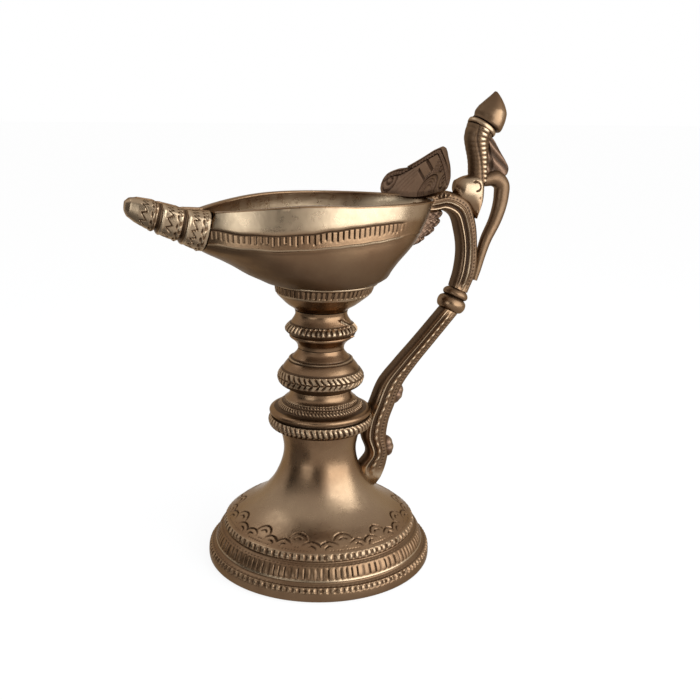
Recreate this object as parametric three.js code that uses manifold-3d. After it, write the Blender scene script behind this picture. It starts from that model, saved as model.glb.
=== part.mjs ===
// A standing brass oil lamp: bell foot, turned stem, boat-shaped bowl with a wick nose and a looped
// handle with a beast's head. Millimetres, +Z up, the nose towards -X and the handle towards +X.
// Heights are measured from the table, and X from the stem's axis until the last lines.
import * as THREE from 'three';
import { mergeVertices } from 'three/addons/utils/BufferGeometryUtils.js';
import Module from 'manifold-3d';

const wasm = await Module();
wasm.setup();

// Joints
const seam = 0.3; // room left in every screwed, riveted or brazed joint
const runningGap = 0.35; // radial room round the rod, the rivets and the tenon

// Foot
const footRadius = 45.5;
const lowerRingHeight = 5.6;
const lowerRingRound = 0.9;
const ringGroove = 1.0; // height of the two dark grooves in the foot
const grooveDepth = 1.9;
const stepInset = 3.3; // from the lower ring to the middle step
const stepHeight = 5.4;
const stepSlope = 2.1;
const upperRingInset = 6.9;
const upperRingHeight = 3.6;
const shoulderInset = 1.2; // from the upper ring to the bell's shoulder
const bellNeckRadius = 14.6;
const bellNeckHeight = 29.2; // from the upper ring to the narrowest part of the neck
const bellLipHeight = 7.6; // from there to the top face
const bellLipFlare = 1.5;
const footWall = 3.2;
const roofThickness = 8.5;

// Stem
const collarRadius = 20.8;
const collarBandHeight = 5.2;
const collarLipRadius = 20.0;
const collarHeight = 16.6;
const lowerNeckRadius = 12.2;
const lowerKnopRadius = 17.3;
const lowerKnopHeight = 16.2;
const middleNeckRadius = 9.0;
const upperKnopRadius = 14.3;
const upperKnopHeight = 15.1;
const upperNeckRadius = 10.4;
const cupRadius = 20.7;
const cupHeight = 11.4;
const cupBeadHeight = 5.0;

// Rod, washer and nut
const rodRadius = 3.0;
const rodIntoBowl = 4.0;
const rodBelowNut = 1.4;
const washerRadius = 8.0;
const washerThickness = 1.2;
const nutAcross = 10.0; // across the flats
const nutThickness = 4.5;

// Bowl
const bowlHeight = 31.2;
const bowlHalfWidth = 31.0;
const bowlRear = 46.0;
const bowlFront = 50.4;
const bowlBaseRadius = 22.8;
const bowlWall = 2.4;
const bowlFloor = 5.4;
const lipWidth = 3.1;
const lipRise = 0.6; // how much the lip's sides stand above its ends
const lipDip = 1.8; // how far the lip sinks towards the nose
const lipNotch = 1.5; // how much further it sinks right beside the nose
const girdleHeight = 16.2; // of the bead round the bowl, above the bowl's base
const girdleBead = 0.45;
const tickBand = 6.0; // from the girdle bead up to the incised line
const incisedLine = 0.35;

// Nose
const noseJoint = 46.5; // from the stem's axis to the joint, at mid height
const noseLean = 0.19; // how far the ring grooves lean back for each mm of height
const noseRootWidth = 9.2; // half width
const noseRootDepth = 16.2;
const noseStep = 1.7; // from the rim's height down to the top of the nose's root
const noseLength = 29.7;
const noseRise = 4.2;
const bandGroove = 1.4;
const bandGrooveDepth = 0.9;
const bandBulge = 0.25;
const channelRootWidth = 5.6; // half width
const channelTipWidth = 1.6;
const channelDepth = 5.4;
const channelStop = 3.6; // solid tip in front of the channel

// Handle
const rootThickness = 6.2;
const handleThickness = 9.0; // in the plane of the handle
const handleWidth = 8.6; // across it
const fluteDepth = 0.7;
const knotRadius = 6.1;
const knotLength = 9.6;
const tenonRadius = 2.4;
const tenonReach = 3.0; // past each end of the knot
const knotDrop = 43.3; // from the rim down to the knot's middle
const knotReach = 12.8; // from the bowl's rear out to it
const knotTilt = 0.44; // radians from upright
const collarClearance = 0.6; // between the handle and the stem collar
const padHeight = 31.0; // where the handle's foot meets the bell
const padDepth = 2.6; // how far the foot is cut back by the bell
const leafLength = 9.0;
const leafBulge = 3.0;
const rivetRadius = 1.5;
const rivetHeadRadius = 2.8;
const rivetHeadHeight = 1.2;
const rivetReach = 4.5; // into the handle

// Finial
const headRadius = 5.4;
const trunkRadius = 4.1;
const trunkFlare = 1.9; // added to the radius at its top
const trunkRings = 11;
const trunkRingDepth = 0.35;
const trunkHeight = 18.4;
const budCollarRadius = 6.2;
const budCollarHeight = 2.2;
const budRadius = 6.5;
const budHeight = 14.7;
const budLean = 6.4; // how far its point is out from the trunk's top
const collarTilt = 0.6; // radians towards the handle's outside
const finThickness = 3.0;
const strapRadius = 3.5;
const strapTipRadius = 1.4;

// Crest plate
const crestHalfWidth = 24.8;
const crestHeight = 20.1;
const crestThickness = 2.6;
const crestBow = 5.4; // how far the ends come forward of the middle
const crestLean = 0.49; // radians back from upright
const crestTurn = 0.06; // radians, the near end turned to the rear
const crestRoll = 0.1; // radians, the near end higher than the far one
const crestInset = 3.5; // from the bowl's rear forward to the plate's foot
const crestLift = 0.9; // from the rim up to the plate's foot
const crestNear = 0.89; // the near half's width as a share of the far half's
const crestSkew = 2.0; // how far the gable's point is off the middle, towards the near end

// Leaf bracket
const bracketThickness = 4.6;
const bracketDrop = 18.5;
const lobeRadius = 3.1;

// Counts of facets
const roundSteps = 36;
const bowlSteps = 48;
const smallSteps = 20;
const handleSides = 12;

// Heights that follow from the sizes above
const middleStepBase = lowerRingHeight + ringGroove;
const upperRingBase = middleStepBase + stepHeight + ringGroove;
const shoulderHeight = upperRingBase + upperRingHeight;
const neckHeight = shoulderHeight + bellNeckHeight;
const footTop = neckHeight + bellLipHeight;
const collarBase = footTop + seam;
const collarTop = collarBase + collarHeight;
const lowerKnopBase = collarTop + seam;
const lowerKnopTop = lowerKnopBase + lowerKnopHeight;
const upperKnopBase = lowerKnopTop + seam;
const upperKnopTop = upperKnopBase + upperKnopHeight;
const cupBase = upperKnopTop + seam;
const bowlBase = cupBase + cupHeight + seam;
const rimHeight = bowlBase + bowlHeight;

const brass = { color: 0x8a6f4e, roughness: 0.36, metalness: 1.0 };
const darkBrass = { color: 0x5a4530, roughness: 0.48, metalness: 1.0 };
const steel = { color: 0x77746c, roughness: 0.5, metalness: 1.0 };

const group = new THREE.Group();

function addPiece(name, body, finish = brass) {
  const geometry = body.isBufferGeometry ? body : geometryOf(body);
  const mesh = new THREE.Mesh(geometry, new THREE.MeshStandardMaterial(finish));
  mesh.name = name;
  group.add(mesh);
  return mesh;
}

// From a three.js geometry to a solid for joining and cutting, and back.
function solidOf(geometry) {
  const bare = new THREE.BufferGeometry();
  bare.setAttribute('position', geometry.getAttribute('position').clone());
  if (geometry.index) bare.setIndex(geometry.index.clone());
  const merged = mergeVertices(bare, 1e-4);
  const points = merged.getAttribute('position').array;
  const corners = [];
  for (let i = 0; i < merged.index.count; i += 3) {
    const [a, b, c] = [merged.index.getX(i), merged.index.getX(i + 1), merged.index.getX(i + 2)];
    if (a !== b && b !== c && a !== c) corners.push(a, b, c);
  }
  if (signedVolume(points, corners) < 0) corners.reverse();
  return new wasm.Manifold(new wasm.Mesh({
    numProp: 3, vertProperties: new Float32Array(points), triVerts: new Uint32Array(corners),
  }));
}

function signedVolume(points, corners) {
  const [a, b, c] = [new THREE.Vector3(), new THREE.Vector3(), new THREE.Vector3()];
  let sum = 0;
  for (let i = 0; i < corners.length; i += 3) {
    a.fromArray(points, corners[i] * 3);
    b.fromArray(points, corners[i + 1] * 3);
    c.fromArray(points, corners[i + 2] * 3);
    sum += a.dot(b.cross(c)) / 6;
  }
  return sum;
}

function geometryOf(solid) {
  const mesh = solid.getMesh();
  const geometry = new THREE.BufferGeometry();
  geometry.setAttribute('position', new THREE.BufferAttribute(mesh.vertProperties, 3));
  geometry.setIndex(new THREE.BufferAttribute(mesh.triVerts, 1));
  geometry.computeVertexNormals();
  return geometry;
}

// A turned solid from [radius, height] pairs that start and end on the axis.
function turned(profile, steps = roundSteps) {
  const points = profile.map(([radius, height]) => new THREE.Vector2(Math.max(radius, 0), height));
  return solidOf(new THREE.LatheGeometry(points, steps).rotateX(Math.PI / 2));
}

function rod(radius, bottom, top, steps = smallSteps) {
  return turned([[0, bottom], [radius, bottom], [radius, top], [0, top]], steps);
}

// Points of a smooth curve through [x, y] pairs.
function smooth(pairs, count) {
  return new THREE.SplineCurve(pairs.map(([x, y]) => new THREE.Vector2(x, y))).getPoints(count)
    .map((p) => [p.x, p.y]);
}

// A solid skinned over rings of points, closed by a fan at each end.
function loft(rings) {
  const around = rings[0].length;
  const points = rings.flat();
  const corners = [];
  for (let k = 0; k + 1 < rings.length; k += 1) {
    for (let i = 0; i < around; i += 1) {
      const a = k * around + i;
      const b = k * around + ((i + 1) % around);
      corners.push(a, b, b + around, a, b + around, a + around);
    }
  }
  for (const [ring, base, turn] of [[rings[0], 0, 1], [rings.at(-1), (rings.length - 1) * around, -1]]) {
    const centre = new THREE.Vector3();
    ring.forEach((p) => centre.addScaledVector(p, 1 / around));
    const hub = points.push(centre) - 1;
    for (let i = 0; i < around; i += 1) {
      const pair = [base + i, base + ((i + 1) % around)];
      if (turn > 0) pair.reverse();
      corners.push(hub, ...pair);
    }
  }
  const geometry = new THREE.BufferGeometry().setFromPoints(points);
  geometry.setIndex(corners);
  return solidOf(geometry);
}

// A bar skinned between two edge curves in the plane of the handle. Its section is a rounded
// rectangle, with a flute along each side where one is asked for.
function bar({ inner, outer, widths, steps, around = handleSides, flute = 0, power = 0.72, grow = 0 }) {
  const edges = [inner, outer].map((pairs) => (
    new THREE.CatmullRomCurve3(pairs.map(([x, z]) => new THREE.Vector3(x, 0, z)), false, 'centripetal')));
  const halfWidth = new THREE.SplineCurve(widths.map((w, i) => new THREE.Vector2(i, w)));
  const rings = [];
  for (let k = 0; k <= steps; k += 1) {
    const t = k / steps;
    const [from, to] = edges.map((edge) => edge.getPoint(t));
    const middle = from.clone().lerp(to, 0.5);
    const half = to.clone().sub(from).multiplyScalar(0.5);
    half.setLength(half.length() + grow);
    const across = halfWidth.getPoint(t).y + grow;
    const ring = [];
    for (let i = 0; i < around; i += 1) {
      const angle = (i / around) * 2 * Math.PI;
      const [c, s] = [Math.cos(angle), Math.sin(angle)];
      const dip = flute * Math.exp(-((c / 0.42) ** 2)) * Math.cos(c * 9);
      const u = Math.sign(c) * Math.abs(c) ** power;
      const v = Math.sign(s) * Math.max(Math.abs(s) ** power - dip / across, 0);
      ring.push(middle.clone().addScaledVector(half, u).add(new THREE.Vector3(0, v * across, 0)));
    }
    rings.push(ring);
  }
  return loft(rings);
}

// The largest part of a solid, without the slivers that a cut can leave.
function mainPart(solid) {
  return solid.decompose().sort((a, b) => b.volume() - a.volume())[0];
}

function placed(solid, { x = 0, y = 0, z = 0, tilt = 0 }) {
  const m = new THREE.Matrix4().makeRotationY(tilt).setPosition(x, y, z);
  return solid.transform(m.toArray());
}

// Foot

function bellRadiusAt(height) {
  const outline = bellCurve();
  for (let i = 1; i < outline.length; i += 1) {
    const [[r0, z0], [r1, z1]] = [outline[i - 1], outline[i]];
    if (height <= z1) return r0 + ((r1 - r0) * (height - z0)) / (z1 - z0);
  }
  return bellNeckRadius + bellLipFlare;
}

// The bell's outside from its shoulder to the top face.
function bellCurve() {
  const shoulder = footRadius - upperRingInset - shoulderInset;
  const spread = shoulder - bellNeckRadius;
  return smooth([
    [shoulder, shoulderHeight],
    [bellNeckRadius + 0.63 * spread, shoulderHeight + 0.18 * bellNeckHeight],
    [bellNeckRadius + 0.32 * spread, shoulderHeight + 0.38 * bellNeckHeight],
    [bellNeckRadius + 0.095 * spread, shoulderHeight + 0.68 * bellNeckHeight],
    [bellNeckRadius, neckHeight],
    [bellNeckRadius + bellLipFlare, footTop],
  ], 9);
}

function footOutside(grow = 0) {
  const stepRadius = footRadius - stepInset;
  const upperRadius = footRadius - upperRingInset;
  return [
    [0, 0],
    [footRadius - 0.6, 0],
    [footRadius, lowerRingHeight * 0.4],
    [footRadius, lowerRingHeight - lowerRingRound],
    [footRadius - lowerRingRound, lowerRingHeight],
    [stepRadius - grooveDepth, lowerRingHeight],
    [stepRadius - grooveDepth, middleStepBase],
    [stepRadius, middleStepBase],
    [stepRadius, middleStepBase + stepHeight * 0.45],
    [stepRadius - stepSlope, middleStepBase + stepHeight],
    [upperRadius - grooveDepth, middleStepBase + stepHeight],
    [upperRadius - grooveDepth, upperRingBase],
    [upperRadius - 0.4, upperRingBase],
    [upperRadius, upperRingBase + upperRingHeight * 0.4],
    [upperRadius - 0.5, shoulderHeight - 0.4],
    ...bellCurve(),
    [0, footTop],
  ].map(([r, z]) => [r > 0 ? r + grow : 0, z]);
}

function makeFoot() {
  const roof = footTop - roofThickness;
  const hollow = turned([
    [0, -1],
    [footRadius - footWall - 1.0, -1],
    [footRadius - footWall - 1.0, lowerRingHeight * 0.7],
    [footRadius - upperRingInset - footWall - 1.6, middleStepBase + 1.0],
    ...[0.0, 0.12, 0.26, 0.42, 0.62].map((f) => {
      const z = shoulderHeight - 1.0 + f * bellNeckHeight;
      return [bellRadiusAt(z + footWall) - footWall, z];
    }),
    [washerRadius + 1.2, roof - 3.0],
    [washerRadius + 1.2, roof],
    [0, roof],
  ]);
  const bore = rod(rodRadius + runningGap, roof - 1, footTop + 1);
  return turned(footOutside()).subtract(hollow).subtract(bore);
}

// Stem

function stemBore(bottom, top) {
  return rod(rodRadius + runningGap, bottom - 1, top + 1);
}

function collarOutline() {
  const band = collarBase + collarBandHeight;
  const lip = band + 1.4;
  return [
    [0, collarBase],
    [collarRadius - 4.6, collarBase],
    [collarRadius - 2.4, collarBase + 0.6],
    [collarRadius - 0.7, collarBase + 1.7],
    [collarRadius, collarBase + 3.2],
    [collarRadius - 0.1, band - 0.7],
    [collarRadius - 0.8, band + 0.3],
    [collarLipRadius - 1.3, lip - 0.4],
    [collarLipRadius + 0.3, lip + 0.4],
    [collarLipRadius + 0.4, lip + 1.4],
    [collarLipRadius - 1.2, lip + 2.4],
    [lowerNeckRadius + 4.6, lip + 3.0],
    [lowerNeckRadius + 4.3, collarTop - 6.0],
    [lowerNeckRadius + 2.4, collarTop - 4.8],
    [lowerNeckRadius + 1.4, collarTop - 3.7],
    [lowerNeckRadius + 0.3, collarTop - 2.0],
    [lowerNeckRadius, collarTop],
    [0, collarTop],
  ];
}

function makeCollar() {
  return turned(collarOutline()).subtract(stemBore(collarBase, collarTop));
}

// Knop outlines: share of the height, and share of the way out from the neck to the belly. The reach
// counts from the neck below up to the belly and from the neck above after it.
const lowerKnopShape = [
  [0, 0.1], [0.06, 0.45], [0.11, 0.70], [0.18, 0.90], [0.28, 1], [0.35, 0.98], [0.42, 0.92], [0.515, 0.76],
  [0.605, 0.64], [0.70, 0.49], [0.765, 0.41], [0.785, 0.30], [0.925, 0.06], [1, 0],
];
const upperKnopShape = [
  [0, 0.02], [0.086, 0.07], [0.18, 0.26], [0.24, 0.44], [0.344, 0.66], [0.37, 0.61], [0.43, 0.88], [0.477, 0.98],
  [0.523, 1], [0.656, 0.60], [0.68, 0.45], [0.828, 0.05], [0.907, -0.03], [1, 0],
];

function makeKnop({ base, top, radius, neckBelow, neckAbove, shape }) {
  const belly = shape.find(([, out]) => out === 1)[0];
  const outline = shape.map(([up, out]) => {
    const neck = up <= belly ? neckBelow : neckAbove;
    return [neck + (radius - neck) * out, base + (top - base) * up];
  });
  return turned([[0, base], ...outline, [0, top]], 32).subtract(stemBore(base, top));
}

function makeCup() {
  const top = cupBase + cupHeight;
  const beads = top - cupBeadHeight;
  const outline = [
    [0, cupBase],
    [upperNeckRadius, cupBase],
    [upperNeckRadius + 0.9, cupBase + 0.9],
    [upperNeckRadius + 3.4, cupBase + 2.5],
    [cupRadius - 2.6, beads - 0.2],
    [cupRadius - 1.9, beads + 0.7],
    [cupRadius - 1.3, top - 1.3],
    [cupRadius - 0.2, top - 0.9],
    [cupRadius, top - 0.4],
    [cupRadius - 0.3, top],
    [0, top],
  ];
  return turned(outline, 32).subtract(stemBore(cupBase, top));
}

// Rod, washer and nut, on the stem's axis

const roofUnderside = footTop - roofThickness;
const washerTop = roofUnderside - seam;
const nutTop = washerTop - washerThickness - seam;
const nutBase = nutTop - nutThickness;

function makeTieRod() {
  return rod(rodRadius, nutBase - rodBelowNut, bowlBase + rodIntoBowl - seam);
}

function makeWasher() {
  const bottom = washerTop - washerThickness;
  return rod(washerRadius, bottom, washerTop).subtract(rod(rodRadius + runningGap, bottom - 1, washerTop + 1));
}

function makeNut() {
  const hexagon = new THREE.CylinderGeometry(
    nutAcross / Math.sqrt(3), nutAcross / Math.sqrt(3), nutThickness, 6,
  ).rotateX(Math.PI / 2).translate(0, 0, nutBase + nutThickness / 2);
  return solidOf(hexagon).subtract(rod(rodRadius + runningGap, nutBase - 1, nutTop + 1));
}

// Bowl. Three meridians give its reach at the front, the side and the rear for each height, and
// every level is an oval between them.

const reachAt = {
  front: [[0, 0], [0.05, 0.10], [0.13, 0.265], [0.25, 0.456], [0.36, 0.658], [0.46, 0.86], [0.52, 0.942], [0.66, 0.974], [1, 1]],
  side: [[0, 0], [0.05, 0.18], [0.13, 0.39], [0.25, 0.62], [0.38, 0.80], [0.51, 0.90], [0.7, 0.95], [1, 1]],
  rear: [[0, 0], [0.05, 0.14], [0.13, 0.20], [0.25, 0.33], [0.38, 0.51], [0.51, 0.665], [0.7, 0.823], [1, 1]],
};

function reach(side, t) {
  const table = reachAt[side];
  for (let i = 1; i < table.length; i += 1) {
    const [[t0, f0], [t1, f1]] = [table[i - 1], table[i]];
    if (t <= t1) return f0 + ((f1 - f0) * (t - t0)) / (t1 - t0);
  }
  return 1;
}

// Radius of the bowl's outside at an angle from +X, t of the way up from its base.
function bowlRadius(angle, t) {
  const length = Math.cos(angle) < 0
    ? bowlBaseRadius + (bowlFront - bowlBaseRadius) * reach('front', t)
    : bowlBaseRadius + (bowlRear - bowlBaseRadius) * reach('rear', t);
  const width = bowlBaseRadius + (bowlHalfWidth - bowlBaseRadius) * reach('side', t);
  const power = 2 - (Math.cos(angle) < 0 ? 0.22 : 0.14) * t;
  const [c, s] = [Math.abs(Math.cos(angle)) / length, Math.abs(Math.sin(angle)) / width];
  return (c ** power + s ** power) ** (-1 / power);
}

function lipHeight(angle) {
  const ahead = Math.max(-Math.cos(angle), 0);
  return rimHeight - lipRise * Math.cos(angle) ** 2 - lipDip * ahead ** 3 - lipNotch * ahead ** 5;
}

// A solid in polar rings round the stem's axis, from a [radius, height] profile for each angle.
function polar(profileAt, steps = bowlSteps) {
  const columns = Array.from({ length: steps }, (_, i) => profileAt((i / steps) * 2 * Math.PI));
  const rings = columns[0].slice(1, -1).map((_, k) => columns.map((column, i) => {
    const angle = (i / steps) * 2 * Math.PI;
    const [radius, height] = column[k + 1];
    return new THREE.Vector3(radius * Math.cos(angle), radius * Math.sin(angle), height);
  }));
  return loft(rings);
}

const outsideLevels = [0, 0.05, 0.13, 0.25, 0.36, 0.46];

function bowlOutside(angle, grow = 0) {
  const girdle = girdleHeight / bowlHeight;
  const line = (girdleHeight + tickBand) / bowlHeight;
  const half = 0.8 / bowlHeight;
  const steps = [
    ...outsideLevels.filter((t) => t < girdle - half).map((t) => [t, 0]),
    [girdle - half, 0], [girdle, girdleBead], [girdle + half, 0],
    [line - half / 2, 0], [line, -incisedLine], [line + half / 2, 0],
    [0.86, 0], [1, 0],
  ];
  const top = lipHeight(angle) - bowlBase;
  return steps.map(([t, out]) => [bowlRadius(angle, t) + out + grow, bowlBase + t * top]);
}

function bowlBlank(grow = 0) {
  return polar((angle) => [
    [0, bowlBase - grow],
    ...bowlOutside(angle, grow).map(([r, z], i) => [r, i === 0 ? z - grow : z]),
    [0, rimHeight],
  ]);
}

function bowlCavity() {
  const floor = bowlFloor / bowlHeight;
  const levels = [0, 0.09, 0.2, 0.34, 0.5, 0.7, 0.86];
  return polar((angle) => {
    const top = lipHeight(angle) - bowlBase;
    const inside = levels.map((t) => {
      const lift = floor * (1 - t) ** 2;
      return [bowlRadius(angle, t) - bowlWall - 0.8 * (1 - t), bowlBase + (t + lift) * top];
    });
    return [
      [0, bowlBase + bowlFloor],
      ...inside,
      [bowlRadius(angle, 1) - lipWidth, bowlBase + top - 0.8],
      [bowlRadius(angle, 1) - lipWidth, bowlBase + top + 2],
      [0, rimHeight + 2],
    ];
  });
}

// The slanted plane between bowl and nose, as a block over everything in front of it.
function noseSide(offset) {
  const size = 4 * bowlFront;
  const block = new THREE.BoxGeometry(size, size, size).translate(-size / 2, 0, 0);
  const turn = Math.atan(noseLean);
  return placed(solidOf(block), { x: -noseJoint + offset, z: noseMiddle, tilt: turn });
}

const noseTop = rimHeight - noseStep;
const noseMiddle = noseTop - noseRootDepth / 2;

// Nose stations: how far along, how high its top has risen, its half width and its depth.
const noseShape = [
  [0.00, 0.00, 1.00, 1.00],
  [0.28, 0.12, 0.88, 0.80],
  [0.57, 0.57, 0.74, 0.70],
  [0.68, 0.76, 0.68, 0.68],
  [0.85, 0.96, 0.54, 0.56],
  [0.95, 0.95, 0.39, 0.42],
  [1.00, 0.76, 0.20, 0.27],
];

const noseGrooves = [0.305, 0.66];

function noseStation(f) {
  let i = 1;
  while (i < noseShape.length - 1 && f > noseShape[i][0]) i += 1;
  const [a, b] = [noseShape[i - 1], noseShape[i]];
  const t = (f - a[0]) / (b[0] - a[0]);
  return a.map((value, k) => value + (b[k] - value) * t);
}

// Half section of the nose: a flat top with the sides and keel rounded.
function noseRing(f, shrink, sizeAt) {
  const [along, rise] = noseStation(f);
  const [, , width, depth] = noseStation(sizeAt);
  const half = Math.max(noseRootWidth * width - shrink, 0.4);
  const deep = Math.max(noseRootDepth * depth - 2 * shrink, 0.6);
  const top = noseTop + noseRise * rise - shrink;
  const x = -noseJoint - noseLength * along;
  const around = 18;
  return Array.from({ length: around }, (_, i) => {
    const angle = (i / around) * 2 * Math.PI;
    const side = Math.sign(Math.sin(angle)) * Math.abs(Math.sin(angle)) ** 0.8 * half;
    const up = Math.cos(angle);
    const height = top - deep * 0.28 + (up > 0 ? up ** 0.7 * deep * 0.28 : -(Math.abs(up) ** 0.9) * deep * 0.72);
    return new THREE.Vector3(x + (height - noseMiddle) * noseLean, side, height);
  });
}

function makeNose() {
  const stops = [];
  const halfGroove = bandGroove / noseLength / 2;
  const edges = [0, ...noseGrooves, 1];
  for (let band = 0; band + 1 < edges.length; band += 1) {
    const start = edges[band] + (band > 0 ? halfGroove : 0);
    const end = edges[band + 1] - (band + 2 < edges.length ? halfGroove : 0);
    const isTip = band + 2 === edges.length;
    const parts = isTip ? 6 : 3;
    const middle = (start + end) / 2;
    for (let k = 0; k <= parts; k += 1) {
      const f = start + ((end - start) * k) / parts;
      const bulge = isTip ? 0 : bandBulge * (1 - ((2 * k) / parts - 1) ** 2);
      stops.push([f, -bulge, isTip ? f : middle + 0.7 * (f - middle)]);
    }
    if (!isTip) stops.push([edges[band + 1], bandGrooveDepth, edges[band + 1]]);
  }
  const blank = loft(stops.map(([f, shrink, sizeAt]) => noseRing(f, shrink, sizeAt)));
  return blank.subtract(channel());
}

// The open channel for the wick, from inside the bowl to just short of the tip.
function channel() {
  const stations = [-0.35, 0, 0.3, 0.6, 1 - channelStop / noseLength];
  return loft(stations.map((f) => {
    const share = Math.max(f, 0);
    const half = channelRootWidth + (channelTipWidth - channelRootWidth) * share;
    const [, rise] = noseStation(share);
    const top = noseTop + noseRise * rise;
    const floor = top - channelDepth * (1 - 0.35 * share);
    const x = -noseJoint - noseLength * f;
    return [
      [-half, top + 3], [-half, floor + half * 0.7], [-half * 0.6, floor], [half * 0.6, floor],
      [half, floor + half * 0.7], [half, top + 3],
    ].map(([y, z]) => new THREE.Vector3(x + (z - noseMiddle) * noseLean, y, z));
  }));
}

// Handle. Its curves start from the bowl's rear rim, the knot and the bell.

const rootX = bowlRear;
const rootZ = rimHeight;
const knotX = bowlRear + knotReach;
const knotZ = rimHeight - knotDrop;
const knotAxis = [Math.sin(knotTilt), Math.cos(knotTilt)];
const knotEnd = knotLength / 2 + seam;

// A point beside the knot: along its axis and out from it, in the plane of the handle.
function byKnot(along, out) {
  return [knotX + knotAxis[0] * along + knotAxis[1] * out, knotZ + knotAxis[1] * along - knotAxis[0] * out];
}

function makeArch(grow = 0) {
  const half = handleThickness / 2 - 0.5;
  const end = grow > 0 ? knotEnd - grow : knotEnd;
  return bar({
    inner: [
      [rootX - 2.0, rootZ - 0.9 - rootThickness], [rootX + 5.4, rootZ - rootThickness + 0.1],
      [rootX + 9.9, rootZ - 8.6], [rootX + 12.4, rootZ - 14.9], [rootX + 13.8, rootZ - 22.5],
      [rootX + 13.0, rootZ - 31.0], byKnot(end, -half),
    ],
    outer: [
      [rootX - 2.0, rootZ - 0.9], [rootX + 7.6, rootZ + 1.5],
      [rootX + 16.6, rootZ - 2.2], [rootX + 20.5, rootZ - 10.6], [rootX + 22.0, rootZ - 21.0],
      [rootX + 22.0, rootZ - 31.6], byKnot(end, half),
    ],
    widths: [3.4, 3.8, 4.3, 4.3, 4.2, 4.1, 3.9].map((w) => (w * handleWidth) / 8.6),
    steps: 22,
    flute: grow > 0 ? 0 : fluteDepth,
    grow,
  });
}

function makeLowerHandle(grow = 0) {
  const half = handleThickness / 2 - 0.7;
  const end = grow > 0 ? -knotEnd + grow : -knotEnd;
  const inside = collarRadius + collarClearance;
  const padX = bellRadiusAt(padHeight) - padDepth;
  const lower = neckHeight;
  return bar({
    inner: [
      byKnot(end, -half), [inside + 19.7, knotZ - 15.6], [inside + 11.4, knotZ - 24.0],
      [inside + 4.6, knotZ - 31.6], [inside + 0.8, knotZ - 40.2], [inside - 2.2, lower + 8.6],
      [inside - 2.9, lower + 1.6], [inside - 0.6, lower - 6.0], [padX - 0.2, padHeight + 3.4],
      [padX + 0.6, padHeight - 2.0], [padX + 3.6, padHeight - 5.6],
    ],
    outer: [
      byKnot(end, half), [inside + 28.2, knotZ - 17.4], [inside + 20.5, knotZ - 25.8],
      [inside + 14.1, knotZ - 34.2], [inside + 10.8, knotZ - 42.6], [inside + 8.6, lower + 7.6],
      [inside + 7.7, lower + 0.4], [inside + 8.7, lower - 6.0], [inside + 7.9, padHeight + 2.6],
      [inside + 5.9, padHeight - 2.6], [inside + 4.1, padHeight - 5.6],
    ],
    widths: [3.9, 4.0, 4.1, 4.2, 4.3, 4.2, 4.0, 3.9, 3.7, 3.0, 1.4].map((w) => (w * handleWidth) / 8.6),
    steps: 30,
    flute: grow > 0 ? 0 : fluteDepth,
    grow,
  });
}

// Things turned on the knot's axis.
function onKnot(profile, steps) {
  return placed(turned(profile, steps), { x: knotX, z: knotZ, tilt: knotTilt });
}

function makeKnot() {
  const h = knotLength / 2;
  const r = knotRadius;
  const beads = onKnot([
    [0, -h], [r - 2.2, -h], [r - 1.1, -h + 0.8], [r - 1.3, -h + 1.9], [r - 0.3, -h + 2.5],
    [r, -h + 3.9], [r - 0.4, -h + 5.2], [r - 1.5, -h + 5.9], [r - 0.9, -h + 6.8], [r - 0.9, -h + 8.0],
    [r - 2.0, h - 0.6], [r - 2.2, h], [0, h],
  ], smallSteps);
  return beads.subtract(onKnot([
    [0, -h - 1], [tenonRadius + runningGap, -h - 1], [tenonRadius + runningGap, h + 1], [0, h + 1],
  ], 20));
}

function tenon(grow) {
  const reachOut = knotEnd + tenonReach;
  return onKnot([
    [0, -reachOut], [tenonRadius + grow, -reachOut], [tenonRadius + grow, reachOut + grow], [0, reachOut + grow],
  ], 20);
}

// A leaf knob: a long half-buried bead on the outside of the lower length.
function leafKnob({ x, z, tilt }) {
  const half = leafLength / 2;
  const rings = [-1, -0.82, -0.5, -0.1, 0.3, 0.65, 0.9, 1].map((f) => {
    const swell = Math.sqrt(Math.max(1 - f * f, 0.02));
    const scallop = 1 + 0.08 * Math.cos(f * 9);
    return Array.from({ length: 14 }, (_, i) => {
      const angle = (i / 14) * 2 * Math.PI;
      return new THREE.Vector3(
        leafBulge * swell * scallop * Math.cos(angle), 0.42 * handleWidth * swell * Math.sin(angle), half * f,
      );
    });
  });
  return placed(loft(rings), { x, z, tilt });
}

const upperLeafPlace = { x: collarRadius + collarClearance + 12.0, z: knotZ - 37.8, tilt: 0.4 };
const lowerLeafPlace = { x: collarRadius + collarClearance + 8.5, z: padHeight + 10.6, tilt: -0.12 };

// Rivets: a head, a shank through the wall and a blunt end in the handle. Axis along +X.
function rivet(length) {
  return turned([
    [0, -rivetHeadHeight], [rivetHeadRadius - 0.7, -rivetHeadHeight], [rivetHeadRadius, -0.4],
    [rivetHeadRadius, 0], [rivetRadius, 0], [rivetRadius, length], [0, length],
  ], 20);
}

const bracketRivet = { x: bowlRear - lipWidth - 3.2, z: rimHeight - 5.4, tilt: Math.PI / 2 };
const footRivetTilt = Math.PI / 2;
const footRivet = { x: bellRadiusAt(padHeight) - footWall * 2.1, z: padHeight, tilt: footRivetTilt };
const rivetLength = lipWidth + 1.6 + rivetReach;

// Finial

const headX = rootX + 20.2;
const headZ = rootZ + 2.8;

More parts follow.
